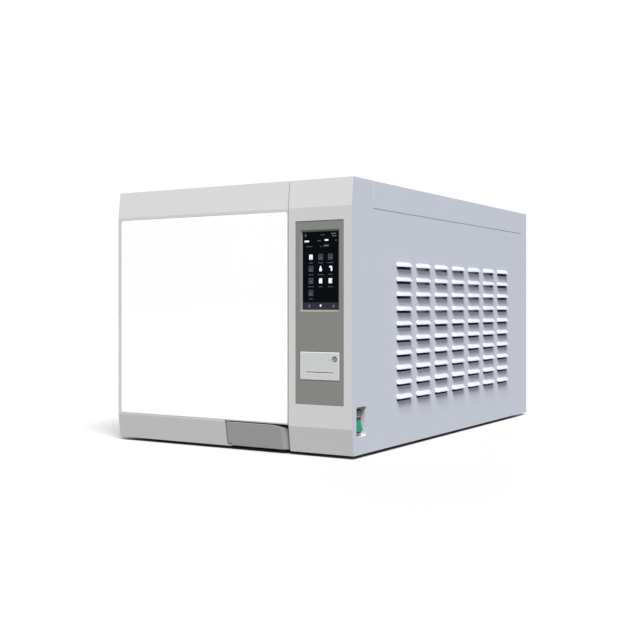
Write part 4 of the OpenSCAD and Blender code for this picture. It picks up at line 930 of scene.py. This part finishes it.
# ---- Door ------------------------------------------------------------------
# A moulded shell carries a white gloss panel in front. Inside it a steel yoke
# holds the forged pressure door with its silicone seal.
door_paint = moulded("door_moulding", paint(199, 199, 199), 0.42)
softened("door_shell", "door_shell_moulded", door_paint, 0.0008, 3)
gloss_white = Finish("gloss_panel", paint(250, 250, 250), 0.09, 0.0, Coat_Weight=1.0,
                     Coat_Roughness=0.03)
gloss_white.tint(gloss_white.noise(5, 2), paint(253, 253, 254), paint(255, 255, 255))
softened("door_panel", "door_gloss_panel", gloss_white, 0.0006, 3)
softened("door_liner", "door_liner_formed", door_paint, 0.0008, 3)
coated(zinc, "door_yoke")

lid_y = seal_y - 0.0003
groove_in, groove_out, lid_r = bore_r + 0.004, bore_r + 0.0125, 0.1415
plate_outline = [(0, -0.0008), (0.052, -0.0008), (0.0535, 0.0), (0.0545, 0.0),
                 (groove_in - 0.0006, 0.0), (groove_in, -0.0006), (groove_in, -0.003),
                 (groove_out, -0.003), (groove_out, -0.0006), (groove_out + 0.0006, 0.0),
                 (lid_r - 0.001, 0.0), (lid_r, -0.001), (lid_r, -0.007),
                 (lid_r - 0.001, -0.008), (0.040, -0.008), (0.036, -0.010),
                 (0.036, -0.0217), (0, -0.0217)]
made(spun(plate_outline, (vessel_x, lid_y, vessel_z), steps=128), "pressure_door_forged",
     "door", turned_steel, ("pressure_door",), 25)
seal_rubber = Finish("seal_silicone", paint(214, 208, 196), 0.5)
seal_rubber.shade(0.04, 60, 0.1)
seal = [(groove_in, -0.003), (groove_out, -0.003), (groove_out, -0.0006),
        (groove_out - 0.0012, -0.0001), (groove_out - 0.0026, 0.0),
        (groove_out - 0.0036, -0.0009), (groove_in + 0.0036, -0.0009),
        (groove_in + 0.0026, 0.0), (groove_in + 0.0012, -0.0001),
        (groove_in, -0.0006), (groove_in, -0.003)]
made(spun(seal, (vessel_x, lid_y, vessel_z), steps=128), "door_seal_moulded", "door",
     seal_rubber, ("door_gasket",), 60)
# Countersunk screws hold the liner to the shell.
liner_low, liner_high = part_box("door_liner")
liner_screws = bmesh.new()
screw_outline = [(0, 0.0), (0.0012, 0.0), (0.0014, 0.0003), (0.0031, 0.0003),
                 (0.0035, 0.0), (0.0035, -0.001), (0, -0.001)]
for x in (liner_low.x + 0.022, liner_high.x - 0.008):
    for z in (0.03, 0.115, 0.305, 0.385):
        joined(liner_screws, spun(screw_outline, (x, liner_high.y - 0.0002, z), steps=20))
made(liner_screws, "liner_screws", "door", wire)


# ---- Pull handle -----------------------------------------------------------
# A grey moulded pull hangs on a steel pin below the white panel, and its free
# end rolls back so that fingers can reach behind it.
handle_grey = moulded("handle_moulding", paint(156, 156, 158), 0.38, 0.5, 0.02, 30)
softened("door_handle", "door_handle_moulded", handle_grey, 0.0012, 3)
softened("handle_pin", "handle_pin_ground", ground, 0.0003)
